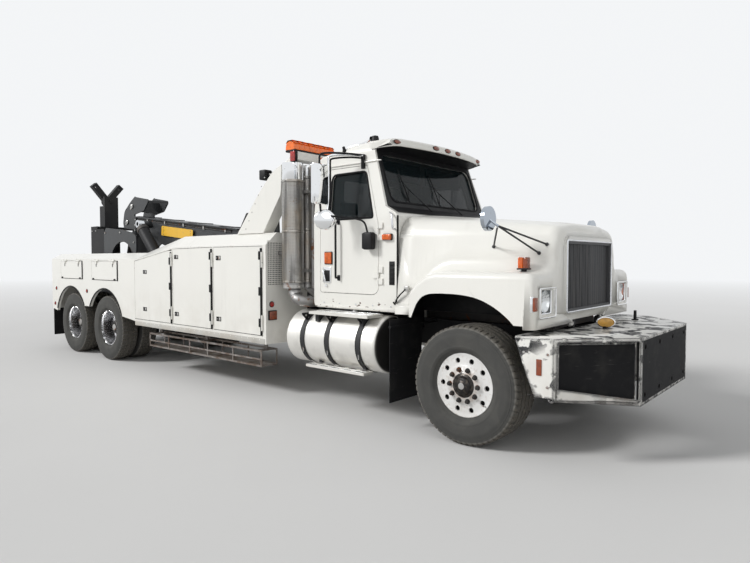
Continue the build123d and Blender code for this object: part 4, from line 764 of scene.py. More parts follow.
def tread_rows(radius, width, grooves, groove_w, depth):
    """(across, radius, cut) rows of half a tyre from the middle of the tread to the bead."""
    edge = 0.4 * width

    def crown(s):
        return radius - 0.007 * (s / edge) ** 2

    rows, at = [(0.0, radius, "rib")], 0.0
    for g in grooves:
        s = g * width
        rows += [(s - groove_w * 0.6, crown(s), "rib"), (s - groove_w * 0.38, crown(s) - depth, "groove"),
                 (s + groove_w * 0.38, crown(s) - depth, "groove"), (s + groove_w * 0.6, crown(s), "rib")]
        at = s
    rows += [((at + edge) / 2, crown((at + edge) / 2), "lug"), (edge, crown(edge), "lug"),
             (0.425 * width, radius - 0.012, "lug"), (0.445 * width, radius - 0.024, "lug"),
             (0.458 * width, radius - 0.04, "side")]
    for s, r in ((0.47, -0.056), (0.478, -0.058), (0.484, -0.075), (0.497, -0.082), (0.499, -0.105),
                 (0.5, -0.13)):
        rows.append((s * width, radius + r, "side"))
    for s, r in ((0.4975, 0.365), (0.491, 0.35), (0.494, 0.347), (0.489, 0.34), (0.47, 0.325),
                 (0.448, 0.313), (0.44, 0.312), (0.426, 0.303), (0.408, 0.2995), (0.398, 0.292),
                 (0.392, 0.2858)):
        rows.append((s * width, r, "side"))
    return rows


def tyre(build, x, z, middle, radius, width, grooves, pitches, groove_w, depth, lugs):
    """One tyre with zigzag grooves and cut shoulders, its bead closed round the rim."""
    half = tread_rows(radius, width, grooves, groove_w, depth)
    rows = [(-s, r, cut) for s, r, cut in reversed(half)] + half[1:]
    fractions = (0.0, 0.07, 0.27, 0.34, 0.67)
    points, columns = [], pitches * len(fractions)
    for p in range(pitches):
        for k, f in enumerate(fractions):
            a = TAU * (p + f) / pitches
            sway = 0.005 * (1 if p % 2 else -1) * (1 if k < 3 else -1)
            for s, r, cut in rows:
                slot = k in (1, 2) and ((cut == "lug") or (lugs and cut == "rib" and abs(s) > 0.01))
                r -= 0.7 * depth * slot
                shift = sway if cut in ("rib", "groove") else 0.0
                points.append((x + r * sin(a), middle + s + shift, z + r * cos(a)))
    n, faces = len(rows), []
    for c in range(columns):
        d = (c + 1) % columns
        faces += [(c * n + i, c * n + (i + 1) % n, d * n + (i + 1) % n, d * n + i) for i in range(n)]
    build.add(points, faces)


def rim(node, body, x, z, marks, finishes, holes):
    """The CAD wheel's rim as a piece of its own, its faces marked by (least radius, finish number)."""
    mesh = copy_of(node, node + "_rim", finishes)
    bm = bmesh.new()
    bm.from_mesh(mesh)
    far = [v for v in bm.verts if hypot(v.co.x - x - FRONT_AXLE, v.co.z - z) > RIM_RADIUS]
    bmesh.ops.delete(bm, geom=far, context="VERTS")
    bm.to_mesh(mesh)
    bm.free()
    for face in mesh.polygons:
        c = face.center
        r = hypot(c.x - x - FRONT_AXLE, c.z - z)
        face.material_index = next(mat for least, mat in marks if r >= least)
    obj = show(mesh, node + "_rim", body, 30)
    at_y, radius, size = holes
    cutter = Build("cutter", "root", finishes[0])
    for k in range(STUDS):
        at = wheel_point(x, z, radius, TAU * (k + 0.5) / STUDS, at_y - 0.08)
        cutter.turned(at, (0, 1, 0), disc(size, 0.16), 0, 16)
    cut(obj, cutter)


def nuts(build, x, z, face, s):
    for k in range(STUDS):
        at = wheel_point(x, z, STUD_CIRCLE, TAU * (k + 0.5) / STUDS, s * face)
        build.turned(at, (0, s, 0), disc(0.024, 0.004), 0, 16)
        build.nut(Vector(at) + Vector((0, s * 0.004, 0)), (0, s, 0), 0.033, 0.022, 0, 0.01)


def front_wheels():
    z, width = FRONT_TYRE
    for s, side in SIDES:
        body = f"front_wheel_{side}"
        tyre_piece = Build(f"front_tyre_{side}", body, "tyre", smooth=40)
        tyre(tyre_piece, 0, z, s * (FRONT_FACE - width / 2), z, width, (0.09, 0.26), 58, 0.013, 0.013,
             False)
        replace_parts(tyre_piece.done(), body)
        rim(body, body, 0, z, ((0.106, 0), (0.0, 1)), ("wheel_white", "hub_grease"),
            (s * 1.175, 0.225, 0.024))
        hardware = Build(f"front_hub_{side}", body, "cast_iron", "hub_grease", "zinc", "rubber")
        nuts(hardware, 0, z, 1.191, s)
        # Painted shade: a black ring behind the rim's holes, so that they look dark inside.
        hardware.turned((0, s * 1.14, z), (0, s, 0), mm((196, 0), (254, 0), (254, 3), (196, 3)), 3, 40)
        hardware.turned((0, s * 1.222, z), (0, s, 0), mm((0, 0), (50, 0), (49, 6), (38, 10.5), (20, 11.5),
                                                         (0, 11.5)), 2, 28)
        for k in range(6):
            hardware.nut(wheel_point(0, z, 0.066, TAU * k / 6, s * 1.219), (0, s, 0), 0.013, 0.008, 1)
        hardware.rod(wheel_point(0, z, 0.268, 2.2, s * 1.18), wheel_point(0, z, 0.25, 2.2, s * 1.212),
                     0.005, 2, 8)
        hardware.done()


def twin_wheels():
    z, width = TWIN_TYRE
    middle, face = TWIN_FACE - width / 2, TWIN_FACE - (width + TWIN_STEP) / 2 + 0.012
    for name, x in (("forward", AXLE_1), ("rearward", AXLE_2)):
        for s, side in SIDES:
            body = f"twin_wheels_{name}_{side}"
            rubber_piece = Build(f"twin_tyres_{name}_{side}", body, "tyre", smooth=40)
            for y in (middle, middle - TWIN_STEP):
                tyre(rubber_piece, x, z, s * y, z, width, (0.12, 0.29), 52, 0.011, 0.013, True)
            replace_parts(rubber_piece.done(), body)
            rim(body, body, x, z, ((0.262, 0), (0.122, 1), (0.0, 2)),
                ("rim_polished", "rim_inside", "hub_grease"), (s * (face - 0.012), 0.212, 0.03))
            hardware = Build(f"twin_hub_{name}_{side}", body, "cast_iron", "zinc")
            nuts(hardware, x, z, face, s)
            for k in range(8):
                at = wheel_point(x, z, 0.07, TAU * (k + 0.5) / 8, s * (face + 0.166))
                hardware.nut(at, (0, s, 0), 0.017, 0.01)
            hardware.turned((x, s * (face + 0.171), z), (0, s, 0),
                            mm((0, 0), (52, 0), (48, 6), (20, 9), (0, 9)), 1, 24)
            hardware.rod(wheel_point(x, z, 0.255, 2.2, s * (face + 0.01)),
                         wheel_point(x, z, 0.235, 2.2, s * (face + 0.05)), 0.005, 1, 8)
            hardware.done()


# Front: bumper, hood, grille and lamps

BUMPER_X, BUMPER_Y = 1.345, 0.72
SLANT = Vector((0.84 - BUMPER_X, 1.24 - BUMPER_Y, 0)).normalized()


def slanted(s):
    """A bumper corner's start, and the directions along its slanted face and out of it."""
    return (Vector((BUMPER_X, s * BUMPER_Y, 0)), Vector((SLANT.x, s * SLANT.y, 0)),
            Vector((SLANT.y, -s * SLANT.x, 0)))


def front_bumper():
    """The bumper with its corner windows as thin-framed as the photo's, and its sides' sloping lower edge."""
    piece = show(copy_of("front_bumper", "bumper_shell", ["bumper_paint"]), "bumper_shell", "root")
    tool = Build("bumper_cutter", "root", "bumper_paint")
    tool.slab(mm((400, 400), (1400, 400), (1400, 479.5), (1345, 479.5), (840, 530), (515, 578), (685, 553),
                 (640, 660), (575, 830), (515.5, 1003), (400, 1003)), (0, -1.3, 0), X, Z, -2.6)
    for s in BOTH:
        corner, along, out = slanted(s)
        window = rounded(mm((13, 513, 10), (688, 560, 10), (688, 994, 10), (13, 994, 10)))
        tool.slab(window, corner - out * 0.045, along, Z, s * 0.09)
    cut(piece, tool)
    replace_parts(piece, "front_bumper")


def bumper_details():
    b = Build("bumper_fittings", "root", "chrome", "shaded_amber", "plastic", "zinc", "bumper_paint",
              "lamp_amber")
    aim = Vector((0.45, -0.9, 0)).normalized()
    lamp = Vector((0.905, -0.262, 1.082))
    b.turned(lamp - aim * 0.055, aim, mm((0, 0), (40, 2), (52, 25), (54, 62), (47, 68), (44, 60)), 0, 32,
             (1.52, 0.9))
    b.turned(lamp, aim, mm((0, 8), (26, 7), (46, 0)), 5, 32, (1.52, 0.9))
    b.box((0.885, 0.925), (-0.29, -0.25), (1.0245, 1.035), 2, 0.002)
    b.rod((0.9, -0.27, 1.03), (0.9, -0.27, 1.045), 0.012, 2, 10)
    b.rod((0.88, 0.672, 1.0245), (0.88, 0.672, 1.125), 0.016, 2, 16, 0.003, 0.014)
    b.rod((0.88, 0.672, 1.0245), (0.88, 0.672, 1.036), 0.034, 2, 18, 0.003)
    for s in BOTH:
        corner, along, out = slanted(s)
        b.slab(mm((20, 492), (706, 538), (706, 632), (20, 530)), corner - out * 0.01, along, Z, s * 0.01, 4)
        b.slab(mm((0, 500), (715, 540), (715, 1008), (0, 1008)), corner - out * 0.105, along, Z, s * 0.004,
               2)
        b.slab(mm((676, 600), (692, 600), (692, 996), (676, 996)), corner - out * 0.015, along, Z,
               s * 0.012, 4)
        # Painted shade: the side reflector takes the darker copy of the amber lens.
        b.boxes(s, (702, 748, 1239.5, 1246, 725, 855, 1, 4))
        b.pipe([(0.822 + 0.022 * cos(TAU * k / 14), s * 1.226,
                 0.55 + 0.026 * sin(TAU * k / 14)) for k in range(14)], 0.008, 4, 8, True)
        b.rod((0.822, s * 1.226, 0.57), (0.822, s * 1.226, 0.6), 0.01, 4, 12)
        for z in (0.64, 0.9):
            for x in (0.595 + 0.1 * (z < 0.7), 0.795):
                b.nut((x, s * 1.24, z), (0, s, 0), 0.019, 0.01, 3)
    for y in (-0.62, -0.21, 0.21, 0.62):
        for z in (0.56, 0.945):
            b.turned((1.345, y, z), X, mm((0, -2), (20, -2), (20, 0), (14, 0), (0, 0)), 3, 14)
    b.done()


ARCH = ((-0.606, 0.88), (-0.6, 0.98), (-0.59, 1.05), (-0.575, 1.1), (-0.552, 1.152), (-0.515, 1.228),
        (-0.47, 1.283), (-0.415, 1.316), (-0.34, 1.333), (-0.2, 1.338), (-0.05, 1.335), (0.09, 1.317),
        (0.171, 1.296), (0.246, 1.266), (0.32, 1.227), (0.375, 1.191), (0.429, 1.149), (0.464, 1.116),
        (0.496, 1.082), (0.52, 1.045), (0.545, 0.98), (0.565, 0.88))


def hood_shell():
    """The hood with its wheel arches cut to the photo's flat-topped line, black on their insides."""
    piece = show(copy_of("hood", "hood_shell", ["white_paint", "black_paint"]), "hood_shell", "hood")
    tool = Build("arch_cutter", "root", "white_paint")
    line = [(p.x, p.y) for p in arc([(x, z, 0) for x, z in ARCH], 3)]
    for s in BOTH:
        tool.slab(line, (0, s * 0.7, 0), X, Z, -s * 0.6)
    cut(piece, tool)
    for face in piece.data.polygons:
        c, n = face.center, face.normal
        x = c.x - FRONT_AXLE
        inward = n.y * (1 if c.y > 0 else -1) < -0.25 or n.z < -0.2
        if abs(x + 0.03) < 0.64 and c.z < 1.52 and abs(c.y) > 0.55 and inward:
            face.material_index = 1
    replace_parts(piece, "hood")


def hood_details():
    h = Build("hood_fittings", "hood", "rubber", "amber_small", "plastic", "zinc", "shaded_amber", "chrome")
    for s in BOTH:
        # Painted shade: the rear half of each hood marker and the side lamp take the darker copy of the amber
        # lens.
        h.boxes(s, (402, 440, 882, 912, 1520, 1566, 2, 4), (376, 424, 866, 934, 1562, 1665, 1, 10),
                (424, 466, 866, 934, 1562, 1665, 4, 10), (370, 472, 862, 938, 1556, 1570, 2, 4),
                (-870, 560, 600, 606, 1115, 1430, 2, 2), (602, 660, 1125, 1183, 1222, 1335, 4, 8),
                (600, 640, 1119, 1187, 1214, 1343, 5, 6))
        strap = arc(beside(s, (-780, 1018, 1350), (-840, 1026, 1295), (-885, 1026, 1245),
                           (-905, 1024, 1205)))
        h.pipe(strap, 0.011, 0, 8, flat=0.6)
        h.boxes(s, (-800, -745, 998, 1022, 1330, 1385, 3, 5))
        h.pipe(beside(s, (-930, 1022, 1215), (-905, 1026, 1195), (-880, 1022, 1180)), 0.009, 0, 8)
    h.done()
    g = Build("grille_trim", "hood", "silver_trim", "plastic", soften=0.0015)
    g.pipe([(0.668, y, z) for y, z in oblong(-0.565, 0.565, 1.175, 1.815, 0.02)], 0.009, 0, 8, True)
    g.box((0.585, 0.59), (-0.54, 0.54), (1.2, 1.79), 1)
    for k in range(27):
        z = 1.215 + k * 0.0215
        g.box((0.604, 0.607), (-0.536, 0.536), (z, z + 0.006), 1)
    g.done()


def headlamp_pieces():
    """Chrome bowls, bulbs and a bulged glass cover in the openings that the CAD lamps fill."""
    names = []
    for s, side in SIDES:
        y0, y1, z0, z1 = 0.851, 1.074, 1.186, 1.399
        ym, zm = s * (y0 + y1) / 2, (z0 + z1) / 2
        p = Build(f"headlamp_{side}", "hood", "chrome", "clear_lens", "plastic", "amber_small",
                  "white_paint")
        inner = oblong(0.8515, 1.0735, 1.1865, 1.3985, 0.016)
        outer = oblong(0.786, 1.103, 1.16, 1.406, 0.02)
        p.collar(inner, outer, lambda a, b, h, s=s: (0.652 + h, s * a, b), 0.012, 4)
        p.pipe([(0.664, s * a, b) for a, b in outer], 0.006, 0, 8, True)
        p.boxes(s, (662, 667.5, 796, 842, 1180, 1388, 1, 4))
        p.box((0.586, 0.592), (s * y0, s * y1), (z0, z1), 2)
        ring = oblong(y0 + 0.006, y1 - 0.006, z0 + 0.006, z1 - 0.006, 0.018)
        p.pipe([(0.648, s * y, z) for y, z in ring], 0.0075, 0, 8, True)
        wall = oblong(y0 + 0.004, y1 - 0.004, z0 + 0.004, z1 - 0.004, 0.018)
        n = len(wall)
        p.add([(x, s * y, z) for x in (0.59, 0.646) for y, z in wall],
              [(k, (k + 1) % n, n + (k + 1) % n, n + k) for k in range(n)], 0)
        bowl = mm((0, 0), (22, 0), (24, 3), (55, 14), (78, 32), (90, 48))
        p.turned((0.594, ym, zm), X, bowl, 0, 32, (1.08, 1.02))
        p.turned((0.596, ym, zm), X, mm((0, 0), (11, 2), (11, 20), (6, 30), (0, 32)), 1, 16)
        p.box((0.592, 0.64), (s * (y1 - 0.03), s * (y1 - 0.012)), (z0 + 0.014, z1 - 0.014), 3, 0.004)
        names.append(p.done())
        cover = Build(f"headlamp_cover_{side}", "hood", "lamp_glass")
        steps = 14
        points, faces = [], []
        for i in range(steps + 1):
            for j in range(steps + 1):
                a, c = i / steps, j / steps
                bulge = 0.004 * (1 - (2 * a - 1) ** 2) * (1 - (2 * c - 1) ** 2)
                points.append((0.6455 + bulge, s * (y0 + 0.01 + (y1 - y0 - 0.02) * a),
                               z0 + 0.01 + (z1 - z0 - 0.02) * c))
        for i in range(steps):
            for j in range(steps):
                k = i * (steps + 1) + j
                faces.append((k, k + 1, k + steps + 2, k + steps + 1))
        cover.add(points, faces)
        names.append(cover.done())
    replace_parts(names[0], "headlamps")


# Cab

def side_y(z, out=0.0):
    """Half width of the cab's side at height z, plus out."""
    return 1.0 - max(0.0, z - 2.08) * 0.065 / 0.62 + out


def cab_details():
    c = Build("cab_trim", "root", "rubber", "amber_small", "plastic", "chrome", "silver_trim",
              "white_paint")
    low, high = Vector((-1.06, 0, 2.19)), Vector((-1.262, 0, 2.805))
    up = (high - low).normalized()
    mid, out = (low + high) / 2, Vector((up.z, 0, -up.x))
    half = (high - low).length / 2
    h = half - 0.055
    opening = oblong(-0.87, 0.87, -h, h, 0.11, 6)

    def on_glass(a, b, lift=0.003):
        return mid + Vector((0, a, 0)) + up * b + out * lift

    c.pipe([on_glass(a, b) for a, b in opening], 0.012, 0, 8, True, 0.8, out)
    border = rounded([(-0.955, -half - 0.004, 0.03), (0.955, -half - 0.004, 0.03), (0.902, half, 0.03),
                      (-0.902, half, 0.03)], 6)
    c.collar(opening, border, lambda a, b, lift: on_glass(a, b, lift + 0.0006), 0.003, 2)
    cowl, under = Vector((0.132, 0, -0.07)), Vector((0.174, 0, 0.032))
    c.slab(mm((-945, -4), (945, -4), (945, 150), (-945, 150)), (-1.0615, 0, 2.1935), (0, 1, 0), cowl,
           -0.003, 2)
    # Painted shade: a black sheet from the windshield's top edge to under the visor, for the shade there.
    c.slab(mm((-925, 0), (925, 0), (925, 178), (-925, 178)), (-1.26, 0, 2.8005), (0, 1, 0), under, 0.003, 2)
    c.turned((-1.36, -0.8, 2.868), Z, mm((0, 0), (50, 0), (50, 14), (42, 30), (41, 70), (32, 94), (0, 102)),
             2, 20)
    c.turned((-1.7, -0.905, 2.8), (-0.1, -0.3, 1), mm((0, 0), (26, 0), (24, 30), (17, 50), (15, 78),
                                                      (0, 82)), 2, 14)
    horn = mm((0, 0), (18, 0), (20, 30), (13, 60), (13, 200), (18, 270), (30, 310), (44, 330), (46, 333),
              (40, 331), (12, 280), (0, 270))
    for s in BOTH:
        c.turned((-1.72, s * 0.835, 2.872), (0.33, -s * 0.02, 0.045), horn, 3, 20)
        for x, z in ((-1.62, 2.83), (-1.46, 2.852)):
            c.rod((x, s * 0.835, z), (x, s * 0.835, z + 0.05), 0.009, 3, 8)
    for s in BOTH:
        c.boxes(s, (-1075, -955, 998, 1022, 1838, 1905, 2, 8), (-1070, -960, 1008, 1040, 1843, 1900, 1, 10))
        c.pipe(arc(beside(s, (-925, 985, 1950), (-925, 1035, 1955), (-928, 1045, 2020), (-940, 1035, 2085),
                          (-985, 1005, 2115), (-1020, 975, 2120))), 0.011, 4, 10)
        c.boxes(s, (-1000, -930, 998.5, 1004, 1385, 1625, 2, 3))
        for k in range(5):
            z = 1.41 + 0.043 * k
            c.box((-0.992, -0.938), (s * 1.002, s * 1.009), (z, z + 0.018), 2, 0.002)
        c.boxes(s, (-2080, -915, 998.5, 1006, 1118, 1145, 5, 3),
                (-904.5, -894.5, 980, 1004, 1120, 2085, 0, 2), (-905.5, -900, 530, 985, 920, 1620, 2, 0))
        c.box((-2.03, -1.16), (s * (side_y(2.66) - 0.008), s * (side_y(2.66) + 0.016)), (2.664, 2.676), 5,
              0.004)
        for x in (-1.94, -1.7, -1.46, -1.22, -0.98):
            c.nut((x, s * 1.0, 1.165), (0, s, 0), 0.016, 0.006, 4)
    c.done()
    wipers = Build("wipers", "root", "plastic", "rubber")
    for y0, y1 in ((-0.2, -0.62), (0.42, 0.02)):
        base = low + Vector((0.035, y0, -0.055))
        tip = mid + out * 0.022 + Vector((0, y1 * 0.9, 0)) - up * 0.12
        wipers.rod(base - Vector((0.01, 0, 0.03)), base + Vector((0.0, 0, 0.012)), 0.016, 0, 12, 0.003)
        wipers.pipe([base, base + out * 0.028, tip + out * 0.012], 0.006, 0, 6)
        a = tip - up * 0.27 + Vector((0, 0.02, 0)) - out * 0.03
        d = tip + up * 0.24 - Vector((0, 0.05, 0)) - out * 0.03
        wipers.pipe([a, (a + d) / 2 + out * 0.01, d], 0.0055, 1, 6)
        wipers.pipe([(a * 3 + d) / 4, tip + out * 0.01, (a + d * 3) / 4], 0.004, 0, 6)
    wipers.done()
    inside = Build("cab_lining", "root", "interior", "plastic", smooth=30)
    for y in (-0.42, 0.42):
        p0 = mid + up * (h - 0.02) - out * 0.075
        inside.slab(mm((-360, 0), (360, 0), (360, 200), (-360, 200)), p0 + Vector((0, y, 0)), (0, 1, 0),
                    -up * 0.9 - out * 0.3, 0.014, 0)
    inside.box((-2.052, -2.045), (-0.93, 0.93), (1.21, 2.12), 0)
    inside.box((-2.04, -0.96), (-0.945, 0.945), (1.191, 1.2), 0)
    inside.pipe(arc(mm((-1300, 120, 1600), (-1420, 100, 1750), (-1460, 80, 1900))), 0.01, 1, 8)
    inside.turned((-1.462, 0.078, 1.905), (-0.2, -0.05, 1), mm((0, 0), (20, 5), (27, 25), (22, 48),
                                                               (0, 55)), 1, 16)
    inside.done()


def visor():
    """The white brow over the windshield, bowed in plan, with its marker lamps."""
    v = Build("visor", "root", "white_paint", "plastic", "shaded_amber", smooth=40)
    stations, points, count = 48, [], 6

    def front(y):
        """The brow's front edge: a shallow bow with turned-back ends."""
        return -0.965 - 0.12 * (y / 0.9) ** 2 - 0.19 * (max(0, abs(y) - 0.8) / 0.145) ** 2.6

    for k in range(stations + 1):
        y = 0.945 * sin(pi / 2 * (2 * k / stations - 1))
        x, drop = front(y), 0.028 * (max(0, abs(y) - 0.72) / 0.225) ** 2
        back = min(-1.115, x - 0.02)
        points += [(back, y, 2.829 - drop), (x - 0.008, y, 2.824 - drop), (x, y, 2.834 - drop),
                   (x, y, 2.884 - drop), (x - 0.02, y, 2.903 - drop),
                   (min(-1.118, x - 0.05), y, 2.899 - drop)]
    # Painted shade: the brow's underside strip is black, for the shade under the brow.
    for k in range(stations):
        for j in range(count):
            a, b = k * count + j, k * count + (j + 1) % count
            v.add([points[i] for i in (a, b, b + count, a + count)], [(0, 1, 2, 3)], 1 if j == 0 else 0)
    for k in (0, stations):
        v.add(points[k * count:(k + 1) * count], [tuple(range(count))])
    # Painted shade: the marker lamps take the darker copy of the amber lens.
    for y in (-0.8, -0.22, 0.0, 0.22, 0.8):
        at = (front(y) - 0.003, y, 2.866 - 0.004 * (abs(y) > 0.5))
        v.turned(at, X, mm((0, 0), (27, 0), (26, 12), (16, 18), (0, 19)), 2, 20, (1.9, 0.75))
        v.turned(at, X, mm((0, 0), (31, 0), (31, 6), (27, 8)), 1, 20, (1.9, 0.8))
    v.done()


def mirrors():
    """Tall chrome mirror heads and round wide mirrors on their tube loops."""
    for s, side in SIDES:
        m = Build(f"mirror_form_{side}", f"cab_door_{side}", "chrome", "plastic", "rod_chrome", smooth=40)
        m.boxes(s, (-1695, -1640, 1215, 1434, 2215, 2640, 0, 24),
                (-1699, -1690, 1228, 1421, 2230, 2625, 2, 3))
        aim, at = Vector((-0.72, -s * 0.69, 0)), Vector((-1.64, s * 1.275, 2.062))
        m.turned(at, aim, mm((0, -34), (58, -28), (98, -12), (113, 6), (113, 15), (105, 19), (0, 19)), 0,
                 40, (1.05, 0.95))
        m.turned(at + aim * 0.019, aim, mm((103, 0), (100, 3), (0, 3)), 2, 40, (1.05, 0.95))
        for y, drop, r, mat in ((1.325, 0.0, 0.011, 1), (1.196, 0.004, 0.013, 0), (1.166, 0.03, 0.01, 1)):
            m.pipe(arc([(-1.396, s * 0.955, 2.742 - drop), (-1.48, s * (0.45 * y + 0.52), 2.748 - drop),
                        (-1.6, s * (y - 0.07), 2.75 - drop), (-1.662, s * (y - 0.008), 2.735 - drop),
                        (-1.672, s * y, 2.67), (-1.672, s * y, 2.6), (-1.672, s * y, 2.3),
                        (-1.668, s * (y * 0.6 + 0.51), 2.1)]), r, mat, 10)
        m.pipe(arc(beside(s, (-1660, 1275, 2105), (-1520, 1215, 2088), (-1340, 1120, 2062),
                          (-1262, 1085, 2020), (-1226, 1075, 1915))), 0.01, 1, 10)
        m.boxes(s, (-1418, -1374, 938, 966, 2600, 2752, 1, 6))
        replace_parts(m.done(), f"mirror_{side}")


def door_details():
    edge = mm((-1850, 2078, 50), (-1218, 2078, 30), (-1230, 2125, 0), (-1354, 2572, 50), (-1850, 2572, 70))
    for s, side in SIDES:
        d = Build(f"cab_door_trim_{side}", f"cab_door_{side}", "rubber", "amber_small", "plastic", "chrome",
                  "silver_trim")
        d.pipe([(x, s * side_y(z, 0.001), z) for x, z in rounded(edge)], 0.011, 0, 8, True, 0.8, (0, s, 0))
        d.boxes(s, (-1925, -1805, 998.5, 1012, 1590, 1730, 2, 6),
                (-1918, -1812, 1006, 1022, 1598, 1722, 1, 10),
                (-1952, -1828, 998.5, 1008, 1385, 1560, 3, 12),
                (-1940, -1842, 1004, 1010, 1400, 1525, 2, 8))
        d.pipe(arc(beside(s, (-1935, 1010, 1535), (-1925, 1034, 1520), (-1895, 1040, 1440),
                          (-1890, 1036, 1400))), 0.01, 3, 8, flat=0.6)
        d.turned((-1.9, s * 1.006, 1.355), (0, s, 0), mm((0, 0), (16, 0), (15, 8), (0, 9)), 3, 16)
        bar = beside(s, (-1712, 1000, 2052), (-1712, 1042, 2046), (-1712, 1050, 2020), (-1712, 1050, 1750),
                     (-1712, 1050, 1475), (-1712, 1042, 1449), (-1712, 1000, 1443))
        d.pipe(arc(bar, 4), 0.012, 2, 10)
        for z in (2.052, 1.443):
            d.box((-1.732, -1.692), (s * 0.9985, s * 1.006), (z - 0.03, z + 0.03), 2, 0.003)
        d.boxes(s, (-1290, -1160, 1018, 1100, 1745, 1925, 2, 22),
                (-1295, -1287, 1030, 1090, 1757, 1913, 2, 3), (-1260, -1190, 998.5, 1022, 1800, 1870, 2, 4),
                (-1900, -1350, 930, 953, 1420, 1980, 2, 12))
        d.done()


def seats():
    """Two air seats: cloth cushions blown up from slightly small forms, on a bellows and a base."""
    forms = {
        "cushion": (mm((-1885, 1455, 30), (-1445, 1470, 50), (-1440, 1575, 50), (-1880, 1560, 30)), 0.215),
        "back": (mm((-2035, 1590, 30), (-1880, 1590, 40), (-1950, 2130, 50), (-2045, 2130, 30)), 0.205),
        "head": (mm((-2040, 2165, 20), (-1965, 2165, 30), (-1975, 2315, 30), (-2040, 2315, 20)), 0.125),
    }
    first = None
    for s, side in SIDES:
        y = s * 0.52
        for kind, (edge, half) in forms.items():
            piece = Build(f"seat_{kind}_{side}", "root", "seat_cloth", smooth=60)
            piece.slab(rounded(edge, 3), (0, y + half, 0), X, Z, 2 * half)
            obj = piece.done()
            swell(obj, 0.014)
            first = first or obj
        base = Build(f"seat_base_{side}", "root", "plastic", "rubber", "interior")
        base.box((-1.86, -1.47), (y - 0.2, y + 0.2), (1.191, 1.235), 0, 0.01)
        base.box((-1.87, -1.46), (y - 0.21, y + 0.21), (1.415, 1.45), 0, 0.01)
        for k in range(5):
            z = 1.235 + 0.036 * k
            base.box((-1.84, -1.49), (y - 0.18, y + 0.18), (z, z + 0.03), 1, 0.012)
        base.pipe([(-1.95, y - s * 0.2, 1.56), (-1.97, y - s * 0.235, 1.63), (-1.7, y - s * 0.245, 1.66)],
                  0.022, 2, 10)
        for off in (-0.06, 0.06):
            base.rod((-1.99, y + off, 2.1), (-2.0, y + off, 2.2), 0.007, 0, 8)
        base.done()
    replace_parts(first, "seats")


VOXEL, PRESSURE, FRAMES = 0.01, 4, 20


def swell(obj, cap):
    """Remeshes a form and blows it up a little with the cloth solver, so that its faces crown."""
    start = obj.data
    mod = obj.modifiers.new("skin", "REMESH")
    mod.mode, mod.voxel_size = "VOXEL", VOXEL
    mesh = bpy.data.meshes.new_from_object(obj.evaluated_get(bpy.context.evaluated_depsgraph_get()))
    obj.modifiers.clear()
    obj.data = mesh
    mesh.materials.clear()
    for material in start.materials:
        mesh.materials.append(material)
    rest = np.array([v.co for v in mesh.vertices])
    cloth = obj.modifiers.new("cloth", "CLOTH")
    cloth.settings.use_pressure = True
    cloth.settings.uniform_pressure_force = PRESSURE
    cloth.settings.effector_weights.gravity = 0
    scene = bpy.context.scene
    for k in range(FRAMES):
        scene.frame_set(k + 1)
    moved = bpy.data.meshes.new_from_object(obj.evaluated_get(bpy.context.evaluated_depsgraph_get()))
    at = np.array([v.co for v in moved.vertices])
    scene.frame_set(1)
    obj.modifiers.clear()
    step = at - rest
    length = np.linalg.norm(step, axis=1, keepdims=True)
    rest = rest + step * np.minimum(1, cap / np.maximum(length, 1e-9))
    mesh.vertices.foreach_set("co", rest.astype(np.float32).ravel())
    mesh.update()
    mesh.shade_smooth()
    smooth = obj.modifiers.new("smooth", "SMOOTH")
    smooth.factor, smooth.iterations = 0.5, 4
    obj.modifiers.new("divide", "SUBSURF").levels = 1


# Tanks and exhaust

def tank_details():
    t = Build("tank_fittings", "root", "chrome", "rubber", "zinc", "plastic", "silver_trim")
    for s in BOTH:
        t.turned((-1.53, s * 0.925, 1.06), (0, s * 0.08, 1),
                 mm((0, 0), (40, 0), (40, 12), (34, 16), (34, 34), (28, 40), (0, 41)), 0, 24)
        for x in (-2.08, -1.7, -1.25):
            for off in (-0.031, 0.031):
                ring = [(x + off, s * (0.905 + 0.3055 * sin(TAU * k / 48)),
                         0.765 + 0.3055 * cos(TAU * k / 48)) for k in range(48)]
                t.pipe(ring, 0.003, 1, 6, True)
            t.rod((x, s * 1.19, 0.62), (x, s * 1.19, 0.72), 0.007, 2, 8)
            t.nut((x, s * 1.19, 0.72), Z, 0.019, 0.014, 2)
            t.slab(mm((985, 1052), (1205, 1052), (1205, 1034), (1120, 950), (1070, 985)), (x - 0.004, 0, 0),
                   (0, s, 0), Z, s * 0.008, 3)
            for y, z in ((1.15, 1.022), (1.105, 0.992)):
                t.turned((x + 0.0042, s * y, z), X, disc(0.011, 0.0006), 2, 12)
        for x0, x1, y, z, count in ((-1.955, -1.115, 1.095, 1.0802, 4), (-1.995, -1.155, 1.155, 0.4982, 5)):
            for k in range(count):
                for off in (-0.045, 0.045):
                    t.turned((x0 + (k + 0.5) * (x1 - x0) / count, s * (y + off), z), Z, disc(0.04, 0.0008),
                             1, 20, (0.38, 1.5))
            for y2 in (y - 0.118, y, y + 0.06):
                t.box((x0 + 0.02, x1 - 0.02), (s * (y2 - 0.003), s * (y2 + 0.003)), (z - 0.001, z + 0.003),
                      4, 0.001)
        t.pipe(arc(beside(s, (-2370, 700, 980), (-2400, 600, 980), (-2200, 520, 970))), 0.01, 3, 8)
    t.done()


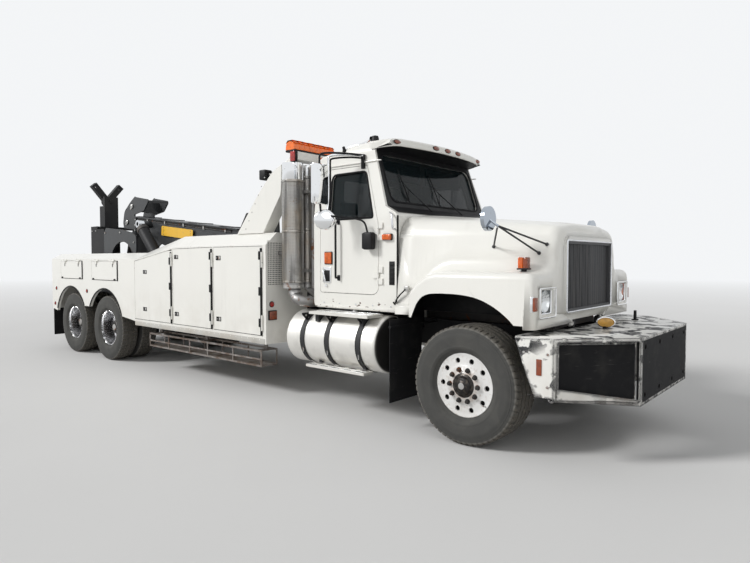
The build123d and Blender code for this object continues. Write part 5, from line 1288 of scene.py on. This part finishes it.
def exhaust_details():
    e = Build("exhaust_shields", "root", "stainless", "chrome", "plastic", smooth=30)
    pitch = 0.0165
    for cx, cy, r, low, high, start, columns in ((-2.39, -1.06, 0.1235, 1.4, 2.53, -0.62, 29),
                                                 (-2.44, -0.79, 0.1035, 1.4, 2.6, 0.3, 19)):
        rows = int((high - low) / pitch)

        def wrapped(across, up, cx=cx, cy=cy, r=r, low=low, start=start):
            a = start + across / r
            return cx + r * sin(a), cy - r * cos(a), low + up

        e.pierced(wrapped, columns, rows, pitch, 0.0046)
        for edge in (start, start + columns * pitch / r):
            x, y = cx + r * sin(edge), cy - r * cos(edge)
            e.pipe([(x, y, low), (x, y, low + rows * pitch)], 0.004, 0, 6)
        for z in (low - 0.01, (low + high) / 2, high + 0.01):
            ring = [(cx + (r + 0.001) * sin(TAU * k / 40), cy + (r + 0.001) * cos(TAU * k / 40),
                     z) for k in range(40)]
            e.pipe(ring, 0.007, 0, 8, True, 2.2, Z)
        e.turned((cx, cy, high + 0.012), Z, [(r - 0.003, 0), (r - 0.001, 0.004), (r - 0.001, 2.736 - high),
                                             (r - 0.006, 2.7385 - high), (r * 0.62, 2.7385 - high),
                                             (r * 0.6, 2.726 - high)], 1, 40)
        e.turned((cx, cy, 2.7352), Z, [(0, 0.0008), (r * 0.62, 0.0008)], 2, 24)
    e.done()
    p = Build("exhaust_clamps", "root", "zinc", "pipe_steel", smooth=30)
    for x, y, z, r in ((-2.39, -1.06, 1.335, 0.1225), (-2.44, -0.79, 1.335, 0.1025)):
        p.turned((x, y, z - 0.02), Z, [(r - 0.003, 0), (r, 0.002), (r, 0.036), (r - 0.003, 0.038)], 0, 32)
        p.rod((x + r, y - 0.03, z), (x + r + 0.022, y - 0.03, z), 0.006, 0, 8)
    for k, (at, to) in enumerate((((-2.37, -1.064, 1.29), (-2.325, -1.07, 1.225)),
                                  ((-2.225, -0.985, 1.166), (-2.217, -0.955, 1.162)))):
        p.rod(at, to, 0.074 if k == 0 else 0.066, 1, 28, 0.003)
    p.done()


# Tool-box body

BIG = (("front", -2.69, -3.68, 1.802, 1.802, ((-3.57, 1.662), (-3.57, 0.889))),
       ("middle", -3.7, -4.657, 1.802, 1.79, ((-4.562, 1.677), (-4.56, 0.891))),
       ("rear", -4.677, -5.74, 1.785, 1.62, ((-5.428, 1.458), (-5.436, 0.91))))
FLARE_RADIUS, FLARE_Z = 0.632, 0.535
SMALL = (("forward", AXLE_1 + 0.487, AXLE_1 - 0.453), ("rearward", AXLE_2 + 0.503, AXLE_2 - 0.417))


def paddle(b, x, z, s, dark, bright):
    """A flush paddle latch: a dark dish with a bright lever and a lock."""
    y = s * BODY_HALF
    b.box((x - 0.05, x + 0.05), (y - s * 0.001, y + s * 0.004), (z - 0.028, z + 0.028), dark, 0.006)
    b.box((x - 0.044, x + 0.002), (y + s * 0.002, y + s * 0.009), (z - 0.02, z + 0.02), dark, 0.004)
    b.box((x + 0.008, x + 0.044), (y + s * 0.002, y + s * 0.008), (z - 0.02, z + 0.02), bright, 0.004)
    b.turned((x - 0.022, y + s * 0.008, z), (0, s, 0), mm((0, 0), (8, 0), (7, 3), (0, 3)), bright, 12)


def door_hardware():
    for s, side in SIDES:
        y = s * BODY_HALF
        for name, front, rear, top_front, top_rear, latches in BIG:
            d = Build(f"tool_door_trim_{name}_{side}", f"tool_door_{name}_{side}", "rubber", "zinc")
            fall = (top_front - top_rear) / (front - rear)
            top = top_front - 0.02 - (0.016 if fall > 0.1 else 0)
            # Painted shadow: the dark strip along the door's front edge and the thin line along its foot
            # stand for the shadow that the proud door casts on the body.
            d.box((front - 0.028, front - 0.006), (y - s * 0.001, y + s * 0.017), (0.75, top - 0.004), 0,
                  0.004)
            d.box((rear + 0.003, front - 0.028), (y, y + s * 0.0012), (0.7465, 0.7525), 0)
            for x, z in latches:
                paddle(d, x, z, s, 0, 1)
            for z in (0.9, 1.27, 1.62 if name == "rear" else 1.69):
                d.box((front - 0.056, front - 0.006), (y + s * 0.0005, y + s * 0.02), (z - 0.05, z + 0.05),
                      0, 0.004)
            d.done()
        for name, front, rear in SMALL:
            d = Build(f"small_door_trim_{name}_{side}", f"small_door_{name}_{side}", "rubber", "zinc",
                      "cast_iron")
            # Painted shadow: the dark strip along the door's front edge and the line along its foot stand for
            # the shadow that the proud door casts on the body.
            d.box((front - 0.03, front - 0.005), (y - s * 0.001, y + s * 0.01), (1.306, 1.614), 0, 0.003)
            d.box((rear + 0.006, front - 0.03), (y, y + s * 0.0012), (1.3035, 1.3115), 2)
            for x in (rear + 0.18, front - 0.18):
                d.box((x - 0.008, x + 0.008), (y, y + s * 0.005), (1.52, 1.6), 2, 0.002)
            for x in (rear + 0.07, front - 0.11):
                d.box((x - 0.026, x + 0.026), (y, y + s * 0.012), (1.311, 1.333), 0, 0.004)
            d.done()


def body_details():
    b = Build("body_trim", "root", "rubber", "shaded_amber", "red_lens", "grey_trim_and_sill_shade", "white_paint",
              "plastic")
    for s in BOTH:
        y = s * BODY_HALF
        for x, low, high in ((AXLE_1, 21, 149), (AXLE_2, 31, 160)):
            line = []
            for k in range(25):
                a = radians(low + (high - low) * k / 24)
                line.append((x + FLARE_RADIUS * cos(a), y + s * 0.001, FLARE_Z + FLARE_RADIUS * sin(a)))
            b.pipe(line, 0.012, 0, 8, flat=0.7, up=(0, s, 0))
        for x, z, mat in ((-7.398, 1.107, 2), (-8.681, 1.116, 2), (-8.746, 0.836, 2)):
            b.turned((x, y - s * 0.001, z), (0, s, 0), mm((0, 0), (34, 0), (34, 5), (28, 8)), 0, 20)
            b.turned((x, y, z), (0, s, 0), mm((0, 0), (27, 0), (26, 10), (14, 15), (0, 16)), mat, 20)
        for k in range(25):
            b.turned((-2.75 - 0.115 * k, y, 0.7), (0, s, 0), mm((8, 0), (6, 3), (0, 4)), 4, 8)
        # Painted shade: a grey band along the sill flange stands for the shade on the flange, which slopes
        # inward.
        b.box((-5.74, -2.65), (y - s * 0.001, y + s * 0.0025), (0.652, 0.714), 3, 0.001)
        b.turned((BODY_FRONT - 0.001, s * 1.185, 1.118), X, mm((0, 0), (36, 0), (36, 6), (30, 10)), 0, 20)
        b.turned((BODY_FRONT, s * 1.185, 1.118), X, mm((0, 0), (29, 0), (28, 12), (14, 18), (0, 19)), 2, 20)
        b.box((BODY_FRONT - 0.001, BODY_FRONT + 0.022), (s * 1.12, s * 1.24), (0.932, 1.046), 5, 0.006)
        # Painted shade: the front-facing amber lamp takes the darker copy of the amber lens.
        b.box((BODY_FRONT + 0.01, BODY_FRONT + 0.034), (s * 1.128, s * 1.232), (0.94, 1.038), 1, 0.01)
        b.box((BODY_FRONT - 0.001, BODY_FRONT + 0.004), (s * 1.0, s * 1.245), (1.325, 1.345), 4, 0.001)
        b.box((BODY_FRONT - 0.001, BODY_FRONT + 0.004), (s * 1.0, s * 1.245), (1.845, 1.865), 4, 0.001)
        b.box((BODY_FRONT - 0.001, BODY_FRONT + 0.0025), (s * 1.008, s * 1.238), (1.34, 1.85), 5)

        def on_face(across, up, s=s):
            return BODY_FRONT + 0.0045, s * (1.008 + across), 1.34 + up

        b.pierced(on_face, 10, 22, 0.023, 0.0075, 4)
        b.box((BODY_FRONT - 0.24, BODY_FRONT - 0.02), (s * 0.9, s * 0.95), (1.962, 1.968), 5, 0.002)
    for s in BOTH:
        b.box((BODY_REAR - 0.012, BODY_REAR + 0.002), (s * 0.66, s * 1.22), (0.86, 0.9), 3, 0.003)
        for z in (1.3, 1.45, 1.6):
            b.nut((BODY_REAR - 0.0005, s * 1.2, z), (-1, 0, 0), 0.018, 0.008, 3)
    b.done()


PYLON_FOOT, PYLON_SLOPE = (-3.26, 1.962), 0.62


def lamp_pieces():
    """Light bars with ribbed amber domes on black bases, and the tail lamps."""
    lamps = Build("light_bars", "root", "amber", "plastic", "chrome", smooth=50)
    for s in BOTH:
        lamps.boxes(s, (-2398, -2242, 515, 1160, 2860.5, 2884, 1, 6))
        sections, bottom, middle = 8, 2.884, -2.32
        edge = rounded(mm((-2396, 2884, 10), (-2244, 2884, 10), (-2256, 2965, 45), (-2300, 2992, 60),
                          (-2340, 2992, 60), (-2384, 2965, 45)), 5)
        for k in range(sections):
            y0 = s * (0.514 + 0.648 * k / sections + 0.002)
            y1 = s * (0.514 + 0.648 * (k + 1) / sections - 0.002)
            shrink = 0.99 if k % 2 else 1.0
            line = [(middle + (x - middle) * shrink, bottom + (z - bottom) * shrink) for x, z in edge]
            lamps.slab(line, (0, max(y0, y1), 0), X, Z, abs(y1 - y0), 0)
        for y in (0.6, 1.08):
            lamps.box((-2.33, -2.31), (s * y - 0.012, s * y + 0.012), (2.861, 2.89), 2, 0.002)
    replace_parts(lamps.done(), "lamps")
    t = Build("tail_lamps", "root", "plastic", "red_lens", "amber_small", "clear_lens")
    for s in BOTH:
        t.boxes(s, (-8890, -8869, 700, 1150, 1000, 1110, 0, 6))
        for y0, y1, mat in ((0.712, 0.852, 1), (0.862, 0.992, 3), (1.002, 1.138, 1)):
            t.box((-8.904, -8.88), (s * y0, s * y1), (1.01, 1.1), mat, 0.01)
    t.done()
    p = Build("pylon_fittings", "root", "plastic", "clear_lens", "red_lens", "zinc", "amber_small")
    for s in BOTH:
        y = s * 1.04
        p.pipe([(-2.705, y, 2.655), (-2.8, y, 2.665), (-2.86, y, 2.665)], 0.01, 3, 8)
        p.box((-2.96, -2.85), (y - 0.058, y + 0.058), (2.605, 2.725), 0, 0.012)
        p.box((-2.968, -2.956), (y - 0.05, y + 0.05), (2.613, 2.717), 1, 0.005)
        for k in range(4):
            p.box((-2.852, -2.838), (y - 0.05, y + 0.05), (2.62 + 0.026 * k, 2.628 + 0.026 * k), 0, 0.002)
        p.boxes(s, (-2330, -2235, 1118, 1150, 2745, 2872, 0, 8),
                (-2322, -2243, 1146, 1162, 2752, 2865, 2, 8))
        for k in range(7):
            z = 2.02 + 0.1 * k
            p.nut((PYLON_FOOT[0] + PYLON_SLOPE * (z - PYLON_FOOT[1]) + 0.03, s * 1.1198, z), (0, s, 0),
                  0.014, 0.005, 3)
    for y in (-0.75, 0.0, 0.75):
        p.turned((-2.2305, y, 2.815), X, mm((0, 0), (30, 0), (30, 6), (24, 14), (0, 16)), 4, 20, (1.6, 0.8))
    p.pipe(arc(mm((-2415, -900, 2800), (-2420, -400, 2790), (-2420, 400, 2790), (-2415, 900, 2800))), 0.009,
           0, 8)
    p.done()


# Recovery gear

def on_boom(along, up, y=0.0):
    """A point of the boom, by its place along and above the line from the pivot."""
    c, s = cos(BOOM_TURN), sin(BOOM_TURN)
    return Vector((BOOM_PIVOT[0] - along * c + up * s, y, BOOM_PIVOT[1] + along * s + up * c))


def boom_details():
    along = on_boom(1, 0) - on_boom(0, 0)
    up = on_boom(0, 1) - on_boom(0, 0)
    b = Build("boom_fittings", "boom", "sign_yellow", "cast_iron", "zinc", "grey_paint", "plastic",
              soften=0.001)
    for s in BOTH:
        at = on_boom(1.235, 0.01, s * 0.2585)
        b.slab(oblong(0, 0.985, 0, 0.165, 0.02), at if s < 0 else at + Vector((0, 0.003, 0)), along, up,
               0.003, 0)
        for u in (1.3, 2.15):
            p = on_boom(u, 0.09)
            b.box((p.x - 0.02, p.x + 0.02), (s * 0.224, s * 0.2585), (p.z - 0.03, p.z + 0.03), 3, 0.002)
            for w in (0.035, 0.15):
                b.nut(on_boom(u, w, s * 0.2615), (0, s, 0), 0.015, 0.006, 2)
        for w in (-0.01, 0.012):
            b.pipe([on_boom(0.25, w + 0.23, s * 0.208), on_boom(3.15, w + 0.23, s * 0.208)], 0.009, 1, 8)
        for u in (0.4, 1.0, 1.6, 2.2, 2.8):
            p = on_boom(u, 0.231)
            b.box((p.x - 0.015, p.x + 0.015), (s * 0.2, s * 0.222), (p.z - 0.03, p.z + 0.03), 2, 0.002)
        for w in (0.02, 0.12, 0.22):
            b.nut(on_boom(3.235, w, s * 0.218), (0, s, 0), 0.028, 0.014, 2)
        b.rod((BOOM_PIVOT[0], s * 0.2245, BOOM_PIVOT[1]), (BOOM_PIVOT[0], s * 0.2295, BOOM_PIVOT[1]), 0.1,
              3, 32, 0.002)
    for u in (0.5, 1.4, 2.3, 3.1):
        b.box((on_boom(u, 0).x - 0.03, on_boom(u, 0).x + 0.03), (-0.236, 0.236),
              (on_boom(u, 0.281).z - 0.001, on_boom(u, 0.281).z + 0.012), 3, 0.003)
    b.done()
    h = Build("boom_head_fittings", "boom_extension", "cast_iron", "zinc", "wire_rope", "grey_paint")
    for behind, w in ((0.11, 0.455), (0.27, 0.15)):
        for s in BOTH:
            end = on_boom(BOOM_LENGTH + behind, w, s * 0.2175)
            h.turned(end, (0, s, 0), mm((0, 0), (44, 0), (44, 6), (38, 10), (0, 10)), 1, 24)
            h.box((end.x - 0.07, end.x - 0.02), (s * 0.206, s * 0.214), (end.z - 0.055, end.z - 0.03), 1,
                  0.003)
            h.nut(on_boom(BOOM_LENGTH + behind, w, s * 0.2275), (0, s, 0), 0.012, 0.006, 0)
            for k in range(5):
                h.nut(wheel_point(end.x, end.z, 0.058, TAU * k / 5, s * 0.1255), (0, s, 0), 0.014, 0.006, 1)
    edge = ((0.443, 0.13), (0.405, 0.335), (0.3, 0.44), (0.225, 0.507), (0.12, 0.585), (0.034, 0.643))
    for s in BOTH:
        line = [on_boom(BOOM_LENGTH + along, up, s * 0.192) for along, up in edge]
        h.pipe(arc(line), 0.012, 3, 8, flat=0.5)
    h.done()


def winches():
    w = Build("winch_fittings", "root", "wire_rope", "cast_iron", "zinc", "plastic")
    x, z = BODY_FRONT - 0.93, 1.42
    for y in (-0.33, 0.33):
        turns, r = 17, 0.1385
        line = []
        for k in range(turns * 20 + 1):
            a = TAU * k / 20
            line.append((x + r * cos(a), y - 0.15 + 0.3 * k / (turns * 20), z + r * sin(a)))
        w.pipe(line, 0.0088, 0, 6)
        for side in (y - 0.231, y + 0.231):
            s = 1 if side > y else -1
            w.turned((x, side, z), (0, s, 0), mm((0, 0), (70, 0), (66, 16), (30, 20), (0, 20)), 1, 24)
            for k in range(6):
                a = TAU * (k + 0.5) / 6
                w.nut((x + 0.095 * cos(a), side, z + 0.095 * sin(a)), (0, s, 0), 0.018, 0.01, 2)
    w.rod((x + 0.16, -0.3, 1.56), (x + 0.16, 0.3, 1.56), 0.018, 1, 12)
    for y in (-0.12, 0.12):
        w.pipe(arc([(x + 0.05, y, 1.6), (x + 0.22, y, 1.66), (x + 0.45, y, 1.5), (x + 0.6, y, 1.35)]),
               0.012, 3, 8)
    w.done()


def cylinder_details():
    base, eye = Vector((-6.2, 0, 1.31)), Vector((-7.19, 0, 2.27))
    along = (eye - base).normalized()
    length = (eye - base).length
    c = Build("lift_cylinder_fittings", "lift_barrels", "cast_iron", "zinc", "plastic")
    for s in BOTH:
        at = base + Vector((0, s * 0.42, 0))
        gland = at + along * (length - 0.14)
        c.turned(gland, along, mm((99, -45), (106, -42), (106, -2), (100, 30), (52, 34)), 0, 36)
        c.turned(at + along * 0.11, along, mm((99, 0), (105, 3), (105, 30), (99, 33)), 0, 36)
        side = Vector((0, s, 0)).cross(along)
        for d in (0.18, length - 0.22):
            port = at + along * d + side * 0.098
            c.rod(port - side * 0.01, port + side * 0.03, 0.018, 1, 12, 0.002)
        c.pipe([at + along * 0.18 + side * 0.124, at + along * 0.24 + side * 0.134,
                at + along * (length - 0.26) + side * 0.134, at + along * (length - 0.22) + side * 0.124],
               0.008, 1, 8)
    c.done()
    f = Build("fold_cylinder_fittings", "fold_barrel", "cast_iron", "zinc")
    base, eye = Vector((-8.75, 0, 2.15)), Vector((-9.08, 0, 1.17))
    along = (eye - base).normalized()
    length = (eye - base).length
    for s in BOTH:
        at = base + Vector((0, s * 0.225, 0))
        f.turned(at + along * (length - 0.13), along, mm((56, -40), (62, -38), (62, -4), (58, 20),
                                                         (34, 22)), 0, 28)
        f.turned(at + along * 0.1, along, mm((56, 0), (61, 3), (61, 24), (56, 27)), 0, 28)
    f.done()


def tower_details():
    t = Build("tower_fittings", "root", "zinc", "cast_iron", "grey_paint", "black_paint", "plastic")
    for s in BOTH:
        for x, z in ((-8.5, 2.15), (-8.5, 1.3), (-7.38, 1.95), (-7.38, 1.3), (-7.9, 2.14)):
            t.nut((x, s * 0.4402, z), (0, s, 0), 0.03, 0.014, 0)
        line = []
        for k in range(21):
            a = radians(180 - 180 * k / 20)
            line.append((-7.83 + 0.478 * cos(a), s * 0.441, min(2.093, 1.5 + 0.478 * sin(a))))
        t.pipe(line, 0.007, 2, 8)
        t.turned((BOOM_PIVOT[0], s * 0.3035, BOOM_PIVOT[1]), (0, s, 0),
                 mm((0, 0), (80, 0), (80, 8), (72, 12), (0, 12)), 1, 28)
        t.box((BOOM_PIVOT[0] + 0.06, BOOM_PIVOT[0] + 0.11), (s * 0.283, s * 0.296),
              (BOOM_PIVOT[1] - 0.07, BOOM_PIVOT[1] + 0.07), 0, 0.003)
        for x in (-9.06, -8.9):
            for z in (0.7, 1.2, 1.7, 2.2):
                t.nut((x, s * 0.4402, z), (0, s, 0), 0.026, 0.012, 0)
        t.turned((-6.2, s * 0.489, 1.31), (0, s, 0), mm((0, 0), (30, 0), (30, 12), (24, 16), (0, 16)), 0,
                 18)
        t.turned((-9.28, s * 0.2205, 0.72), (0, s, 0), mm((0, 0), (52, 0), (52, 10), (44, 14), (0, 14)), 0,
                 24)
    t.done()
    c = Build("crossbar_fittings", "crossbar", "cast_iron", "zinc")
    c.turned((-9.4255, 0, 2.83), (-1, 0, 0), mm((0, 0), (50, 0), (50, -1), (45, 0.5), (0, 0.5)), 1, 24)
    c.done()


def under_details():
    """Brake chambers, air tanks and shaft joints under the frame."""
    u = Build("under_fittings", "root", "cast_iron", "zinc", "black_paint", "rubber")
    for x in (AXLE_1, AXLE_2):
        for s in BOTH:
            u.rod((x - 0.2, s * 0.5, 0.62), (x - 0.38, s * 0.5, 0.66), 0.078, 2, 24, 0.012)
            u.rod((x - 0.282, s * 0.5, 0.638), (x - 0.296, s * 0.5, 0.642), 0.086, 1, 24, 0.003)
            u.rod((x - 0.06, s * 0.5, 0.59), (x - 0.21, s * 0.5, 0.622), 0.014, 0, 10)
        u.turned((x - 0.095, 0, 0.525), (-1, 0, 0), mm((160, 0), (150, 50), (110, 100), (50, 130),
                                                       (0, 135)), 0, 28)
    for s in BOTH:
        u.rod((-3.15, s * 0.58, 0.83), (-3.95, s * 0.58, 0.83), 0.115, 2, 32, 0.03)
        for x in (-3.3, -3.8):
            u.turned((x, s * 0.58, 0.83), (-1, 0, 0), mm((115.5, 0), (119, 2), (119, 38), (115.5, 40)), 1,
                     32)
            u.box((x - 0.035, x - 0.005), (s * 0.436, s * 0.5), (0.8, 0.86), 1, 0.003)
    u.done()


front_wheels()
twin_wheels()
front_bumper()
bumper_details()
hood_shell()
hood_details()
headlamp_pieces()
cab_details()
visor()
mirrors()
door_details()
seats()
tank_details()
exhaust_details()
door_hardware()
body_details()
lamp_pieces()
boom_details()
winches()
cylinder_details()
tower_details()
under_details()


# Finishes of the CAD nodes

# A star stands for left and for right.
LOOKS = {
    "white_paint": "cab_shell door_* hood light_pylon tool_boxes_* tool_door_front_* tool_door_middle_* "
                   "tool_door_rear_* small_door_forward_* small_door_rearward_*",
    "bumper_paint": "front_bumper",
    "rubber": "bumper_pads mud_flaps",
    "black_paint": "frame_rails boom_pedestal lift_barrels fold_barrels underlift_column underlift_arm "
                   "underlift_stinger crossbar front_axle rear_axles",
    "grey_paint": "boom_outer boom_inner rear_tower",
    "deck_plate": "deck",
    "cast_iron": "engine knuckle_*",
    "tank_metal": "fuel_tanks",
    "step_metal": "cab_steps",
    "pipe_steel": "exhaust_stacks",
    "rod_chrome": "lift_rods fold_rods",
    "mirror_parts": "mirror_*",
    "hood_mirror_parts": "hood_mirrors",
    "glass": "cab_glass door_glass_*",
    "interior": "dashboard",
    "grille_metal": "grille",
    "rack_metal": "side_racks",
    "tyre": "front_wheel_* twin_wheels_forward_* twin_wheels_rearward_*",
    "seat_cloth": "seats",
    "lamp_glass": "headlamps",
    "amber": "lamps",
}
for finish, names in LOOKS.items():
    for name in names.split():
        for side in ("left", "right"):
            for slot in NODES[name.replace("*", side)].material_slots:
                slot.material = FINISH[finish].mat


# Studio

SKY, SKY_SEEN, SKY_LIGHT = (0.97, 0.985, 1.0, 1), 0.93, 0.46
EYE, FORWARD, UP = (6.7479, -5.546, 1.6483), (-0.6503, 0.7587, -0.0387), (-0.02519, 0.02938, 0.99925)
FLOOR_REACH, FLOOR_NEAR, FLOOR_FAR = 160.0, 9, 46
LAMPS = (("key", (-0.55, -0.72, 0.62), 2.25, 14), ("fill", (0.75, -0.5, 0.55), 0.35, 50))


def sky(scene):
    """A plain sky that looks brighter than it lights."""
    world = bpy.data.worlds.new("studio")
    scene.world = world
    world.use_nodes = True
    tree = world.node_tree
    back = tree.nodes["Background"]
    path = tree.nodes.new("ShaderNodeLightPath")
    seen = path.outputs["Is Camera Ray"]
    for ray in ("Is Glossy Ray", "Is Transmission Ray"):
        add = tree.nodes.new("ShaderNodeMath")
        add.operation, add.use_clamp = "ADD", True
        tree.links.new(seen, add.inputs[0])
        tree.links.new(path.outputs[ray], add.inputs[1])
        seen = add.outputs[0]
    strength = tree.nodes.new("ShaderNodeMix")
    tree.links.new(seen, strength.inputs[0])
    strength.inputs[2].default_value, strength.inputs[3].default_value = SKY_LIGHT, SKY_SEEN
    tree.links.new(strength.outputs[0], back.inputs["Strength"])
    back.inputs["Color"].default_value = SKY


def ground(scene):
    """A grey floor that fades into the sky."""
    floor_mesh = bpy.data.meshes.new("floor")
    corners = [(a * FLOOR_REACH, b * FLOOR_REACH, 0) for a, b in ((-1, -1), (1, -1), (1, 1), (-1, 1))]
    floor_mesh.from_pydata(corners, [], [(0, 1, 2, 3)])
    floor = bpy.data.objects.new("floor", floor_mesh)
    scene.collection.objects.link(floor)
    m = Finish("floor", (0.66, 0.655, 0.645), 0.85)
    m.stain((0.6, 0.595, 0.585), 0.35, 0.7, 0.25, 0.5, 5)
    far = m.node("VectorMath", {0: m.place}, operation="LENGTH").outputs["Value"]
    glow = m.node("Emission", {"Color": SKY, "Strength": SKY_SEEN})
    blend = m.node("MixShader", {0: m.span(far, FLOOR_NEAR, FLOOR_FAR), 1: m.shader.outputs[0],
                                 2: glow.outputs[0]})
    m.tree.links.new(blend.outputs[0], m.tree.nodes["Material Output"].inputs["Surface"])
    floor_mesh.materials.append(m.mat)


def lights(scene):
    for name, aim, power, angle in LAMPS:
        lamp = bpy.data.lights.new(name, "SUN")
        lamp.energy, lamp.angle = power, radians(angle)
        obj = bpy.data.objects.new(name, lamp)
        obj.rotation_euler = Vector(aim).to_track_quat("Z", "Y").to_euler()
        scene.collection.objects.link(obj)


def photo_camera(scene):
    """The photo's camera, from the fit to its wheels and edges."""
    camera = bpy.data.cameras.new("camera")
    camera.lens, camera.sensor_width = 27.81, 36
    eye = bpy.data.objects.new("camera", camera)
    forward, up = Vector(FORWARD), Vector(UP)
    right = forward.cross(up).normalized()
    up = right.cross(forward).normalized()
    turn = Matrix((right, up, -forward.normalized())).transposed()
    eye.matrix_world = Matrix.Translation(EYE) @ turn.to_4x4()
    scene.collection.objects.link(eye)
    scene.camera = eye
    scene.view_settings.view_transform = "Standard"


for step in (sky, ground, lights, photo_camera):
    step(bpy.context.scene)
bpy.context.view_layer.update()
